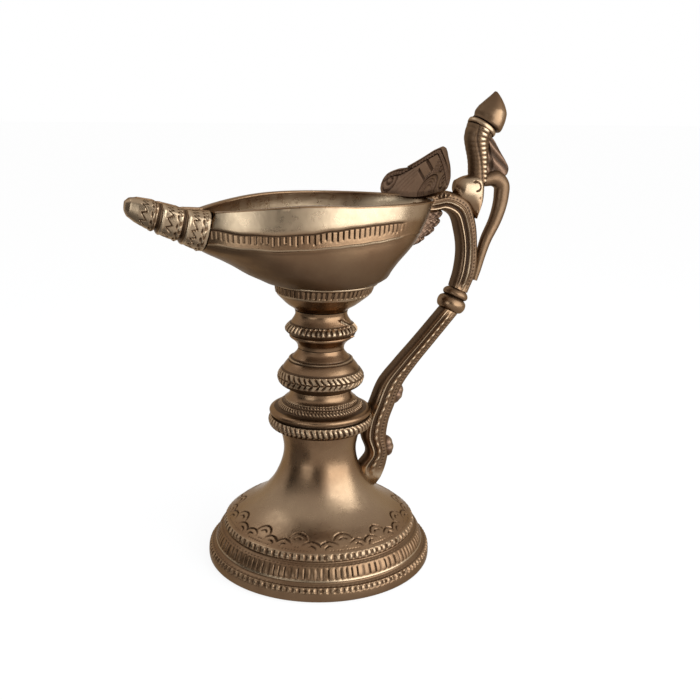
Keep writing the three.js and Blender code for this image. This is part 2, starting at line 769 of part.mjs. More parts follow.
function makeHead() {
  const r = headRadius;
  return bar({
    inner: [
      [headX - 9.6, headZ - 1.6], [headX - 7.8, headZ - 5.4], [headX - 2.0, headZ - r], [headX + 0.8, headZ - r - 2.6],
      [headX + 1.4, headZ - 2.2 * r],
    ],
    outer: [
      [headX - 9.0, headZ + 3.0], [headX - 4.6, headZ + 4.6], [headX + 2.4, headZ + r - 0.6],
      [headX + 3.4, headZ - 2.6], [headX - 0.2, headZ - 2.3 * r],
    ],
    widths: [1.6, 4.0, 5.2, 4.6, 1.6],
    steps: 14,
    power: 0.95,
  });
}

const trunkFoot = [headX + 1.4, headZ + headRadius - 1.0];
const trunkTop = [trunkFoot[0] + 0.2, trunkFoot[1] + trunkHeight];

function makeTrunk(grow = 0) {
  const path = new THREE.CatmullRomCurve3([
    [trunkFoot[0], trunkFoot[1] - 1.2], [trunkFoot[0] - 0.2, trunkFoot[1] + 0.25 * trunkHeight],
    [trunkFoot[0] - 0.5, trunkFoot[1] + 0.45 * trunkHeight], [trunkFoot[0] - 1.1, trunkFoot[1] + 0.66 * trunkHeight],
    [trunkFoot[0] - 1.2, trunkFoot[1] + 0.83 * trunkHeight], trunkTop,
  ].map(([x, z]) => new THREE.Vector3(x, 0, z)));
  const stations = trunkRings * 2;
  const rings = [];
  for (let k = 0; k <= stations; k += 1) {
    const t = k / stations;
    const p = path.getPointAt(t);
    const along = path.getTangentAt(t);
    const out = new THREE.Vector3(along.z, 0, -along.x);
    const radius = trunkRadius + grow - (k % 2 === 0 ? trunkRingDepth : 0) + trunkFlare * t ** 1.6;
    rings.push(Array.from({ length: 14 }, (_, i) => {
      const angle = (i / 14) * 2 * Math.PI;
      return p.clone().addScaledVector(out, radius * Math.cos(angle))
        .add(new THREE.Vector3(0, radius * 0.94 * Math.sin(angle), 0));
    }));
  }
  return loft(rings);
}

function onTrunk(profile, steps = smallSteps) {
  return placed(turned(profile, steps), { x: trunkTop[0], z: trunkTop[1], tilt: collarTilt });
}

function makeBudCollar(grow = 0) {
  const r = budCollarRadius + grow;
  const h = budCollarHeight + grow;
  return onTrunk([[0, -0.2 - grow], [r - 0.9, -0.2 - grow], [r, 0.3 * h], [r - 0.1, 0.75 * h], [r - 0.8, h], [0, h]]);
}

// The bud leans out over its collar and its point bends up: each station has its place past the
// trunk's top, its radius and its tilt.
function makeBud() {
  const base = budCollarHeight + seam;
  const [bx, bz] = [base * Math.sin(collarTilt), base * Math.cos(collarTilt)];
  const up = budHeight - bz;
  const stations = [
    [bx + 0.3, 0, 0.86, 1], [0.46 * budLean, 0.01, 0.96, 1], [0.62 * budLean, 0.19, 1, 0.83], [0.83 * budLean, 0.43, 0.91, 0.58],
    [0.97 * budLean, 0.66, 0.63, 0.5], [1.02 * budLean, 0.86, 0.32, 0.42], [budLean, 1, 0.08, 0.33],
  ];
  const place = new THREE.CatmullRomCurve3(stations.map(([x, z]) => new THREE.Vector3(x, bz + z * up, 0)));
  const shape = new THREE.SplineCurve(stations.map(([, , r, tilt]) => new THREE.Vector2(r * budRadius, tilt * collarTilt)));
  const steps = 12;
  const rings = [];
  for (let k = 0; k <= steps; k += 1) {
    const at = place.getPoint(k / steps);
    const { x: radius, y: tilt } = shape.getPoint(k / steps);
    rings.push(Array.from({ length: 18 }, (_, i) => {
      const angle = (i / 18) * 2 * Math.PI;
      const out = radius * Math.cos(angle);
      return new THREE.Vector3(
        trunkTop[0] + at.x + out * Math.cos(tilt), radius * Math.sin(angle), trunkTop[1] + at.y - out * Math.sin(tilt),
      );
    }));
  }
  return loft(rings);
}

function extruded(shape, thickness, bevel, curveSegments = 6) {
  const geometry = new THREE.ExtrudeGeometry(shape, {
    depth: thickness - 2 * bevel, bevelEnabled: bevel > 0, bevelThickness: bevel, bevelSize: bevel,
    bevelOffset: -bevel, bevelSegments: 1, curveSegments, steps: 1,
  }).translate(0, 0, bevel - thickness / 2);
  return geometry;
}

// A plate cut to an outline in the plane of the handle: the shape's y becomes the height.
function sidePlate(shape, thickness, bevel) {
  return solidOf(extruded(shape, thickness, bevel).rotateX(Math.PI / 2));
}

function makeFin() {
  const x = trunkFoot[0];
  const z = trunkFoot[1];
  const shape = new THREE.Shape();
  shape.moveTo(x + 1.0, z - 0.6);
  shape.lineTo(x + 6.6, z + 0.4);
  shape.quadraticCurveTo(x + 11.0, z - 1.6, x + 14.0, z + 0.7);
  shape.quadraticCurveTo(x + 15.0, z + 2.6, x + 13.0, z + 5.4);
  shape.lineTo(x + 5.4, z + 15.8);
  shape.lineTo(x + 1.0, z + 15.4);
  shape.closePath();
  return sidePlate(shape, finThickness, 0.5);
}

function makeStrap(grow = 0) {
  const path = new THREE.CatmullRomCurve3([
    [headX + 5.4, headZ + 2.9], [headX + 9.8, headZ + 3.2], [headX + 12.9, headZ + 0.7], [headX + 13.2, headZ - 3.8],
    [headX + 12.4, headZ - 8.8], [headX + 10.6, headZ - 14.2], [headX + 6.9, headZ - 21.6],
    [headX + 4.9, headZ - 27.8], [headX + 3.3, headZ - 34.2], [headX + 2.2, headZ - 38.4],
  ].map(([x, z]) => new THREE.Vector3(x, 0, z)));
  const steps = 22;
  const rings = [];
  for (let k = 0; k <= steps; k += 1) {
    const t = k / steps;
    const p = path.getPointAt(t);
    const along = path.getTangentAt(t);
    const out = new THREE.Vector3(along.z, 0, -along.x);
    const radius = strapRadius + (strapTipRadius - strapRadius) * t ** 1.6 + grow;
    rings.push(Array.from({ length: 12 }, (_, i) => {
      const angle = (i / 12) * 2 * Math.PI;
      return p.clone().addScaledVector(out, radius * Math.cos(angle))
        .add(new THREE.Vector3(0, radius * Math.sin(angle), 0));
    }));
  }
  return loft(rings);
}

// Crest plate: a bowed gable with a scroll at each end and a raised panel, leaning back.
function makeCrest() {
  const w = crestHalfWidth;
  const h = crestHeight;
  const side = [
    [0.88, 0], [0.97, 0.08], [1.0, 0.2], [0.95, 0.34], [0.8, 0.46], [0.65, 0.51], [0.6, 0.56], [0.27, 0.85], [0.05, 0.99],
  ];
  const far = side.map(([u, v]) => [u, v > 0.5 ? v + 0.03 * (1 - v) * 2 : v]);
  const outline = [...far, ...side.map(([u, v]) => [-u * crestNear, v]).reverse()];
  const panel = [[0.42, 0.15], [0.42, 0.45], [0, 0.76], [-0.42, 0.45], [-0.42, 0.15]];
  const cut = (pairs) => solidOf(extruded(
    new THREE.Shape(pairs.map(([u, v]) => new THREE.Vector2(u * w - crestSkew * v, v * h))), 24, 0,
  )).transform(new THREE.Matrix4().makeBasis(
    new THREE.Vector3(0, 1, 0), new THREE.Vector3(0, 0, 1), new THREE.Vector3(1, 0, 0),
  ).toArray());
  const slab = (front, back) => {
    const steps = [-1, -0.75, -0.5, -0.25, 0, 0.25, 0.5, 0.75, 1];
    const line = (offset) => steps.map((f) => new THREE.Vector2(offset - crestBow * f * f, f * (w + 1)));
    const shape = new THREE.Shape([...line(-front), ...line(back).reverse()]);
    return solidOf(extruded(shape, 2 * h + 2, 0).translate(0, 0, h));
  };
  const half = crestThickness / 2;
  const plate = slab(half, half).intersect(cut(outline));
  const raised = slab(half + 0.6, half + 0.6).intersect(cut(panel));
  const m = new THREE.Matrix4()
    .makeTranslation(rootX - crestInset, 0, rimHeight + crestLift)
    .multiply(new THREE.Matrix4().makeRotationZ(crestTurn))
    .multiply(new THREE.Matrix4().makeRotationY(crestLean))
    .multiply(new THREE.Matrix4().makeRotationX(-crestRoll));
  return plate.add(raised).transform(m.toArray());
}

// Leaf bracket: five lobes down the bowl's rear, from the handle's root.
function makeBracket() {
  const shape = new THREE.Shape();
  const top = rimHeight - rootThickness - 0.9;
  const scallops = 4;
  shape.moveTo(rootX - 12.0, top);
  shape.lineTo(rootX + 4.2, top);
  for (let i = 0; i < scallops; i += 1) {
    const f = (i + 1) / scallops;
    const from = [rootX + 4.2 - 12.6 * (i / scallops) ** 1.3, top - (bracketDrop - rootThickness + 0.7) * (i / scallops)];
    const to = [rootX + 4.2 - 12.6 * f ** 1.3, top - (bracketDrop - rootThickness + 0.7) * f];
    shape.quadraticCurveTo(from[0] + lobeRadius * 0.55, from[1] - lobeRadius * 0.9, to[0], to[1]);
  }
  shape.lineTo(rootX - 12.0, top - (bracketDrop - rootThickness + 0.7) + 1.0);
  shape.closePath();
  return sidePlate(shape, bracketThickness, 0.6);
}

// Build every piece, cut each by the neighbours it seats on, and name it.

const bowlOuter = bowlBlank();
const bowlGrown = bowlBlank(seam);
const footGrown = turned(footOutside(seam));
const collarGrown = turned(collarOutline().map(([r, z]) => [r > 0 ? r + collarClearance * 0.6 : 0, z]));
const archGrown = makeArch(seam);
const rodSocket = rod(rodRadius + runningGap, bowlBase - 1, bowlBase + rodIntoBowl);

const bracketRivetHole = placed(turned([
  [0, -20], [rivetHeadRadius + runningGap, -20], [rivetHeadRadius + runningGap, seam],
  [rivetRadius + runningGap, seam], [rivetRadius + runningGap, rivetLength + seam], [0, rivetLength + seam],
], 20), bracketRivet);
const footRivetHole = placed(turned([
  [0, -4], [rivetHeadRadius + runningGap, -4], [rivetHeadRadius + runningGap, seam],
  [rivetRadius + runningGap, seam], [rivetRadius + runningGap, rivetLength + seam], [0, rivetLength + seam],
], 20), footRivet);

addPiece('foot_bell', makeFoot().subtract(footRivetHole));
addPiece('stem_collar', makeCollar());
addPiece('lower_knop', makeKnop({
  base: lowerKnopBase, top: lowerKnopTop, radius: lowerKnopRadius, neckBelow: lowerNeckRadius, neckAbove: middleNeckRadius,
  shape: lowerKnopShape,
}));
addPiece('upper_knop', makeKnop({
  base: upperKnopBase, top: upperKnopTop, radius: upperKnopRadius, neckBelow: middleNeckRadius, neckAbove: upperNeckRadius,
  shape: upperKnopShape,
}));
addPiece('bowl_cup', makeCup());
addPiece('tie_rod', makeTieRod(), steel);
addPiece('tie_washer', makeWasher());
addPiece('tie_nut', makeNut());

addPiece('oil_bowl', bowlOuter.subtract(bowlCavity()).subtract(rodSocket).subtract(noseSide(seam))
  .subtract(channel()).subtract(bracketRivetHole));
addPiece('spout_nose', makeNose().subtract(channel()));

const archSolid = makeArch().subtract(bowlGrown).subtract(tenon(runningGap)).subtract(bracketRivetHole);
addPiece('handle_arch', archSolid);
addPiece('handle_knot', makeKnot());
const lowerSolid = makeLowerHandle().add(tenon(0)).subtract(footGrown).subtract(collarGrown).subtract(footRivetHole);
addPiece('handle_lower', lowerSolid);
const lowerGrown = makeLowerHandle(seam);
addPiece('upper_leaf', leafKnob(upperLeafPlace).subtract(lowerGrown), darkBrass);
addPiece('lower_leaf', leafKnob(lowerLeafPlace).subtract(lowerGrown), darkBrass);
addPiece('bracket_rivet', placed(rivet(rivetLength), bracketRivet));
addPiece('foot_rivet', placed(rivet(rivetLength), footRivet));

const headSolid = makeHead().subtract(archGrown);
const trunkGrown = makeTrunk(seam);
addPiece('ringed_trunk', makeTrunk());
const strapGrown = makeStrap(seam);
addPiece('beast_head', headSolid.subtract(trunkGrown).subtract(strapGrown));
addPiece('bud_collar', makeBudCollar().subtract(trunkGrown));
addPiece('bud', makeBud().subtract(trunkGrown).subtract(makeBudCollar(seam)));
addPiece('leaf_fin', mainPart(makeFin().subtract(trunkGrown).subtract(makeBudCollar(seam)).subtract(strapGrown)), darkBrass);
addPiece('mouth_strap', makeStrap().subtract(archGrown).subtract(trunkGrown));
addPiece('leaf_bracket', makeBracket().subtract(bowlGrown).subtract(archGrown), darkBrass);
addPiece('crest_plate', makeCrest().subtract(archGrown).subtract(bowlGrown), darkBrass);

// The origin is on the table under the middle of the whole lamp.
const bounds = new THREE.Box3().setFromObject(group);
group.position.x = -(bounds.min.x + bounds.max.x) / 2;
group.updateMatrixWorld(true);

export default group;
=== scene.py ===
import math
from bisect import bisect_right

import bmesh
import bpy
from bpy.props import FloatProperty, FloatVectorProperty, IntProperty, PointerProperty
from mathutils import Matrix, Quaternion, Vector


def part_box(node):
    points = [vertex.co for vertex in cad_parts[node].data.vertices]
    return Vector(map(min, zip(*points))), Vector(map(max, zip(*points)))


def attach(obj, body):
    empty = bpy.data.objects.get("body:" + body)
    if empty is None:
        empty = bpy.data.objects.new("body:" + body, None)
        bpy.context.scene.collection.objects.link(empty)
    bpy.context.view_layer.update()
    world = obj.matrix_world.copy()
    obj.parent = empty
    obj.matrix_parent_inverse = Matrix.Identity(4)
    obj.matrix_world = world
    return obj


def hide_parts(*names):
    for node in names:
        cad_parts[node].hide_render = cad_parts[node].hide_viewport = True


bl_info = {
    "name": "Standing brass oil lamp",
    "version": (1, 0, 0),
    "blender": (4, 5, 0),
    "location": "3D View > Sidebar > Oil lamp",
    "description": "Finishes a boat-shaped brass oil lamp round its packed solids",
    "category": "Object",
}

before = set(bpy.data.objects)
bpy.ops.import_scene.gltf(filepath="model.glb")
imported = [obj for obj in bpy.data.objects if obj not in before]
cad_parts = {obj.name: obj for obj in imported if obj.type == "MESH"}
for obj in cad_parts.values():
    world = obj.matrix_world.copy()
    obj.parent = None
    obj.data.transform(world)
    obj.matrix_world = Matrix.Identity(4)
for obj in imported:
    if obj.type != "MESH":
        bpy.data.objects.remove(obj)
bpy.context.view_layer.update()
rod_low, rod_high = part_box("tie_rod")
STEM_X = (rod_low.x + rod_high.x) / 2
MM = 0.001
ROD_HOLE = 3.35  # radius of the hole for the rod, in millimetres
SHARP = math.radians(42)  # a fold steeper than this stays a sharp edge
FINE_TURN = 720  # straight steps round a closed line where its length is measured
POLE_DIRT = 0.3  # dirt on the flat ends of bars and leaves


def size(title, millimetres, text):
    return FloatProperty(name=title, description=text, default=millimetres * MM, min=0.0,
                         unit="LENGTH", subtype="DISTANCE")


def count(title, default, text):
    return IntProperty(name=title, description=text, default=default, min=1)


def share(title, default, text):
    return FloatProperty(name=title, description=text, default=default, min=0.0, max=1.0, subtype="FACTOR")


def turn(title, degrees, text):
    return FloatProperty(name=title, description=text, default=math.radians(degrees), subtype="ANGLE")


def tint(title, colour, text):
    return FloatVectorProperty(name=title, description=text, default=colour, size=3, min=0.0, max=1.0,
                               subtype="COLOR")


def watts(title, default, text):
    return FloatProperty(name=title, description=text, default=default, min=0.0, unit="POWER")


class LampFootSizes(bpy.types.PropertyGroup):
    lower_ticks: count("Lower ring cuts", 118, "Cuts round the lowest ring")
    middle_ticks: count("Middle step cuts", 108, "Upright cuts round the middle step")
    upper_ticks: count("Upper ring cuts", 90, "Cuts round the upper ring")
    cut_depth: size("Depth of the cuts", 0.55, "How deep the chisel went into the rings")
    leaves: count("Leaves", 13, "Three-lobed leaves round the bell's shoulder")
    leaf_height: size("Height of the leaves", 9.8, "Up the bell's slope")
    leaf_depth: size("Depth of the leaves", 0.5, "How deep their outlines are cut")


class LampStemSizes(bpy.types.PropertyGroup):
    collar_cuts: count("Collar cuts", 58, "Slanted cuts round the collar's lower bead")
    fine_cuts: count("Fine cuts", 76, "Fine cuts round the ring above the collar's lip")
    lower_knop_cuts: count("Lower knop cuts", 44, "Herringbone cuts round the lower knop")
    upper_knop_cuts: count("Upper knop cuts", 42, "Upright cuts round the upper knop")
    cup_beads: count("Cup beads", 56, "Square beads round the cup")
    cut_depth: size("Depth of the cuts", 0.6, "How deep the chisel went into the stem's bands")


class LampBowlSizes(bpy.types.PropertyGroup):
    half_width: size("Half width", 31.0, "From the stem's axis to the lip at the side")
    rear: size("Rear", 46.0, "From the stem's axis to the lip at the handle")
    front: size("Front", 50.4, "From the stem's axis to the lip's oval under the nose")
    wall: size("Wall", 2.4, "Thickness of the wall at half height")
    lip: size("Lip", 3.1, "Width of the flat lip")
    cuts: count("Cuts", 114, "Upright cuts all the way round the band")
    cut_depth: size("Depth of the cuts", 0.5, "How deep the chisel went into the band")
    plain_rear: turn("Plain rear", 47, "How far round from the handle the band stops")


class LampNoseSizes(bpy.types.PropertyGroup):
    length: size("Length", 29.7, "From the joint with the bowl to the tip")
    half_width: size("Half width", 9.2, "At the joint")
    depth: size("Depth", 16.2, "At the joint")
    groove: size("Groove", 0.62, "Depth of the grooves between the bands")
    mark: size("Mark", 0.42, "Depth of the chiselled zigzags and dots")


class LampHandleSizes(bpy.types.PropertyGroup):
    thickness: size("Thickness", 9.0, "In the plane of the handle")
    width: size("Width", 8.6, "Across the plane of the handle")
    ridge: size("Ridge", 0.55, "Height of the two ridges along each side")
    cable: size("Cable", 3.1, "Length of one twist of the roped ridge")
    knot_radius: size("Knot radius", 6.1, "Of the double bead over the joint")


class LampFinialSizes(bpy.types.PropertyGroup):
    head_radius: size("Head radius", 5.4, "Of the beast's ball head")
    trunk_rings: count("Trunk rings", 12, "Cross rings up the trunk")
    trunk_ring_depth: size("Ring depth", 0.42, "Of the grooves between the rings")
    bud_radius: size("Bud radius", 6.5, "Where the bud is fullest")
    strap_radius: size("Strap radius", 3.5, "Of the round bar at its upper end")


class LampCrestSizes(bpy.types.PropertyGroup):
    half_width: size("Half width", 24.8, "From the middle to the far scroll's end")
    near: share("Near half", 0.89, "Width of the near half as a share of the far half's")
    height: size("Height", 20.1, "From the bowl's rim to the gable's point")
    thickness: size("Thickness", 2.6, "Of the plate")
    relief: size("Relief", 0.65, "How deep the ornament is cut")


class LampMetals(bpy.types.PropertyGroup):
    # Rubbed brass also colours the painted highlights, and the recess colour also colours the painted shade
    bright: tint("Rubbed brass", (0.46, 0.352, 0.235), "Colour where hands polish the brass")
    plain: tint("Aged brass", (0.190, 0.115, 0.063), "Colour of most of the surface")
    dull: tint("Tarnish", (0.118, 0.058, 0.028), "Colour of the browner clouds of tarnish")
    recess_and_shade: tint("Recess", (0.040, 0.021, 0.011), "Colour of the dirt that stays in cuts")
    leaf: tint("Dark leaf", (0.140, 0.080, 0.050), "Colour of the crest and leaves")
    steel: tint("Rod steel", (0.20, 0.185, 0.165), "Colour of the hidden rod")
    gloss: share("Roughness", 0.29, "Roughness of the smooth brass")
    rub_and_highlight: share("Wear", 0.75, "How strongly raised edges are rubbed bright")


class LampStage(bpy.types.PropertyGroup):
    camera_distance: size("Camera distance", 360.7, "Over the floor from the stem's axis")
    camera_height: size("Camera height", 182.5, "Above the floor")
    camera_side: turn("Camera side", 23.826, "How far the view is turned from straight along the depth")
    camera_pitch: turn("Camera pitch", 15.0, "How far the view looks down")
    camera_roll: turn("Camera roll", 1.056, "How far the camera leans to its left")
    lens: FloatProperty(name="Lens", description="Focal length on a 36 mm sensor", default=48.525, min=10.0,
                        unit="CAMERA")
    window: watts("Window", 4.6, "Power of the large lamp at the right")
    low_left: watts("Low left", 0.065, "Power of the low lamp before the nose")
    fill: watts("Fill", 0.4, "Power of the small lamp over the bowl")


def mm(value):
    return value / MM


# Lines and bands

def curve(points, parts=12):
    """Points of a smooth line through the given ones, parts of them to each stretch."""
    pts = [Vector(p) for p in points]
    ends = [2 * pts[0] - pts[1]] + pts + [2 * pts[-1] - pts[-2]]
    line = []
    for i in range(len(pts) - 1):
        a, b, c, d = ends[i:i + 4]
        g0, g1, g2 = (max((q - p).length ** 0.5, 1e-4) for p, q in ((a, b), (b, c), (c, d)))
        m1 = ((b - a) / g0 - (c - a) / (g0 + g1) + (c - b) / g1) * g1
        m2 = ((c - b) / g1 - (d - b) / (g1 + g2) + (d - c) / g2) * g1
        for k in range(parts):
            t = k / parts
            line.append((2 * t ** 3 - 3 * t ** 2 + 1) * b + (t ** 3 - 2 * t ** 2 + t) * m1
                        + (3 * t ** 2 - 2 * t ** 3) * c + (t ** 3 - t ** 2) * m2)
    line.append(pts[-1])
    return line


def smooth(pairs, parts=12):
    """A smooth flat line through pairs of numbers."""
    return curve([(a, b, 0) for a, b in pairs], parts)


def upright(pairs):
    """A smooth line in the plane of the handle, through (x, height) pairs."""
    return curve([(x, 0, z) for x, z in pairs])


def lengths_of(line):
    total = [0.0]
    for p, q in zip(line, line[1:]):
        total.append(total[-1] + (q - p).length)
    return total


def at_length(line, lengths, want):
    """The point a given way along a line, the number of its stretch and the share of that stretch."""
    i = min(max(bisect_right(lengths, want) - 1, 0), len(line) - 2)
    part = (want - lengths[i]) / max(lengths[i + 1] - lengths[i], 1e-9)
    part = min(max(part, 0.0), 1.0)
    return line[i].lerp(line[i + 1], part), i, part


def from_table(table, x, soft=False):
    """The other columns of a table at a value of its first one, between the rows on both sides of it."""
    i = 1
    while i < len(table) - 1 and x > table[i][0]:
        i += 1
    a, b = table[i - 1], table[i]
    t = (x - a[0]) / (b[0] - a[0])
    if soft:
        t = t * t * (3 - 2 * t)
    return [p + (q - p) * t for p, q in zip(a[1:], b[1:])]


def rows_along(line, start, end, parts, band):
    """Rows of an outline between two lengths along a line: radius, height, band and share of the band."""
    lengths = lengths_of(line)
    rows = []
    for k in range(parts + 1):
        p, _, _ = at_length(line, lengths, start + (end - start) * k / parts)
        rows.append((p.x, p.y, band, k / parts))
    return rows


def run(points, step, band="plain", curved=True):
    """Rows of an outline through (radius, height) pairs, about a step apart."""
    line = smooth(points) if curved else [Vector((r, z, 0)) for r, z in points]
    whole = lengths_of(line)[-1]
    return rows_along(line, 0, whole, max(1, round(whole / step)), band)


def outline(*runs):
    """One outline from several runs, without the rows that two of them share."""
    rows = []
    for row in sum(runs, []):
        if rows and abs(rows[-1][0] - row[0]) + abs(rows[-1][1] - row[1]) < 0.02:
            continue
        rows.append(row)
    return rows


def on_rod(*bands, back=4.0):
    """The closed outline of a turned piece on the rod: its bands, its flat ends and the rod's hole."""
    foot, top = bands[0][0][:2], bands[-1][-1][:2]
    return outline(
        run([(ROD_HOLE, foot[1]), foot], 4.0, curved=False),
        *bands,
        run([top, (ROD_HOLE, top[1])], back, curved=False),
        run([(ROD_HOLE, top[1]), (ROD_HOLE, foot[1])], 6.0, curved=False),
    )[:-1]


def round_stem(radius, angle, height=0.0):
    """The point at a distance, an angle and a height round the stem."""
    return Vector((radius * math.cos(angle), radius * math.sin(angle), height))


def pulse(x, width, soft=0.12):
    """1 within half a width of a whole number, falling softly to 0 outside it."""
    away = abs(x - round(x))
    return min(max((width / 2 + soft / 2 - away) / soft, 0.0), 1.0)


def bump(x, centre, half):
    """A round bump between centre - half and centre + half."""
    t = (x - centre) / half
    return (1 - t * t) ** 2 if abs(t) < 1 else 0.0


def ends_of(x, soft=0.15):
    """1 inside a band, falling to 0 at both its ends."""
    return min(max(min(x, 1 - x) / soft, 0.0), 1.0)


def by_hand(angle, seed, amount=0.18):
    """The small unevenness of a row of cuts made by hand."""
    waves = math.sin(3 * angle + seed) + 0.7 * math.sin(8 * angle + 2.3 * seed) + 0.5 * math.sin(19 * angle)
    return amount * waves


def milled(turns, width, across, soft, deep, dirty, clean):
    """A band of upright cuts at a number of turns of its pattern: how far the metal stands out, and dirt."""
    cut = pulse(turns, width) * ends_of(across, soft)
    return -deep * cut, dirty * cut if cut > 0.1 else clean


# Building blocks

def blank(rows, columns, place, ring=False):
    """A closed skin: place gives each row and share of a turn of a grid its point and dirt, then the
    grid's seams close. The first and last rows are single points, unless the rows make a ring."""
    bm = bmesh.new()
    high = rows if ring else rows - 1
    bmesh.ops.create_grid(bm, x_segments=columns, y_segments=high, size=1)
    dirt_and_shading = bm.verts.layers.float.new("dirt_and_shading")
    seam = []
    for v in bm.verts:
        column = round((v.co.x + 1) / 2 * columns)
        row = round((v.co.y + 1) / 2 * high)
        if column in (0, columns) or row in (0, high):
            seam.append(v)
        v.co, v[dirt_and_shading] = place(row % rows, column % columns / columns)
    bmesh.ops.remove_doubles(bm, verts=seam, dist=1e-5)
    bmesh.ops.dissolve_degenerate(bm, dist=1e-6, edges=bm.edges)
    bmesh.ops.recalc_face_normals(bm, faces=bm.faces)
    return bm


def turned(rows, columns, cuts, ring=False):
    """A skin turned round the stem. Cuts gives how far a point of a band stands out, and its dirt."""
    last = len(rows) - 1
    normals = []
    for k in range(len(rows)):
        before = rows[k - 1] if k > 0 or ring else rows[k]
        after = rows[(k + 1) % len(rows)] if k < last or ring else rows[k]
        way = Vector((after[1] - before[1], before[0] - after[0]))
        normals.append(way.normalized() if way.length > 0 else Vector((1, 0)))

    def place(row, around):
        radius, height, band, across = rows[row]
        angle = 2 * math.pi * around
        out, dirt_and_shading = cuts(band, across, angle, radius, height)
        radius += normals[row].x * out
        height += normals[row].y * out
        return round_stem(radius, angle, height), dirt_and_shading

    return blank(len(rows), columns, place, ring)


def section(power, columns):
    """Points of a rounded square, evenly spaced round it, each with its way out."""
    dense = []
    for k in range(FINE_TURN + 1):
        angle = 2 * math.pi * k / FINE_TURN
        c, s = math.cos(angle), math.sin(angle)
        dense.append(Vector((math.copysign(abs(c) ** power, c), math.copysign(abs(s) ** power, s))))
    lengths = lengths_of(dense)
    points = [at_length(dense, lengths, lengths[-1] * k / columns)[0] for k in range(columns)]
    ways = []
    for k in range(columns):
        along = points[(k + 1) % columns] - points[k - 1]
        ways.append(Vector((along.y, -along.x)).normalized())
    return list(zip(points, ways))


def bar(inner, outer, widths, step, columns, power=0.72, relief=None):
    """A bar between two edge lines in the plane of the handle, given as (x, height) pairs.
    Relief gets the place in the section, the way along in millimetres and the whole length."""
    edge_in, edge_out = upright(inner), upright(outer)
    half_widths = curve([(w, 0, 0) for w in widths])
    middle = [(p + q) / 2 for p, q in zip(edge_in, edge_out)]
    lengths = lengths_of(middle)
    stations = max(8, round(lengths[-1] / step))
    shape = section(power, columns)
    places = []
    for k in range(stations + 1):
        way = lengths[-1] * k / stations
        centre, i, part = at_length(middle, lengths, way)
        half = (edge_out[i].lerp(edge_out[i + 1], part) - edge_in[i].lerp(edge_in[i + 1], part)) / 2
        wide = half_widths[i].lerp(half_widths[i + 1], part).x
        places.append((centre, half, wide, way))

    def place(row, around):
        k = min(max(row - 1, 0), stations)
        centre, half, wide, way = places[k]
        if row in (0, stations + 2):
            return centre.copy(), POLE_DIRT
        (u, v), (nu, nv) = shape[round(around * columns) % columns]
        out, dirt_and_shading = relief(u, v, way, lengths[-1]) if relief else (0, 0)
        return centre + half * u + half.normalized() * (nu * out) + Vector((0, v * wide + nv * out, 0)), dirt_and_shading

    return blank(stations + 3, columns, place)


def tube(points, radii, step, columns, relief):
    """A round bar along a line in the plane of the handle, with a radius at each point."""
    line = upright(points)
    wide = curve([(r, 0, 0) for r in radii])
    lengths = lengths_of(line)
    stations = max(6, round(lengths[-1] / step))

    def place(row, around):
        way = lengths[-1] * min(max(row - 1, 0), stations) / stations
        centre, i, part = at_length(line, lengths, way)
        if row in (0, stations + 2):
            return centre, POLE_DIRT
        along = (line[i + 1] - line[i]).normalized()
        across = Vector((along.z, 0, -along.x))
        angle = 2 * math.pi * around
        out, dirt_and_shading = relief(way, angle, lengths[-1])
        radius = wide[i].lerp(wide[i + 1], part).x + out
        return centre + across * radius * math.cos(angle) + Vector((0, radius * math.sin(angle), 0)), dirt_and_shading

    return blank(stations + 3, columns, place)


def leaf(edges, thickness, stations, columns, relief):
    """A plate whose section at each station runs from one edge to the other: front side, then back.
    Edges gives both edge points and the way to the front. Relief is on the front and the back."""
    def place(row, around):
        t = min(max((row - 1) / (stations - 1), 0), 1)
        left, right, front = edges(t)
        if row in (0, stations + 1):
            return (left + right) / 2, POLE_DIRT
        side = 1 if around < 0.5 else -1
        u = 2 * around if side > 0 else 2 - 2 * around
        swell = (1 - abs(2 * u - 1) ** 6) ** 0.5
        out, dirt_and_shading = relief(t, u)
        half = max(thickness / 2 + out, 0.3) * swell * min(1, 0.4 + 8 * min(t, 1 - t))
        return left.lerp(right, u) + front * (side * half), dirt_and_shading

    return blank(stations + 2, columns, place)


def finish(name, bm, slot, node):
    """Makes a skin the object that stands for a node, with its place in its mesh."""
    bmesh.ops.scale(bm, vec=(MM, MM, MM), verts=bm.verts)
    bmesh.ops.translate(bm, vec=(STEM_X, 0, 0), verts=bm.verts)
    for face in bm.faces:
        face.smooth = True
    mesh = bpy.data.meshes.new(name)
    bm.to_mesh(mesh)
    bm.free()
    mesh.set_sharp_from_angle(angle=SHARP)
    mesh.materials.append(METALS[slot]())
    piece = bpy.data.objects.new(name, mesh)
    bpy.context.scene.collection.objects.link(piece)
    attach(piece, "root")
    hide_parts(node)


# Metals

def new_material(name):
    material = bpy.data.materials.new(name)
    material.use_nodes = True
    return material, material.node_tree


def made(tree, kind, values, **settings):
    """A shader node with its settings. Each input is set, or linked where its value is an output."""
    node = tree.nodes.new(kind)
    for setting, choice in settings.items():
        setattr(node, setting, choice)
    for title, value in values.items():
        if hasattr(value, "links"):
            tree.links.new(value, node.inputs[title])
        else:
            node.inputs[title].default_value = value
    return node


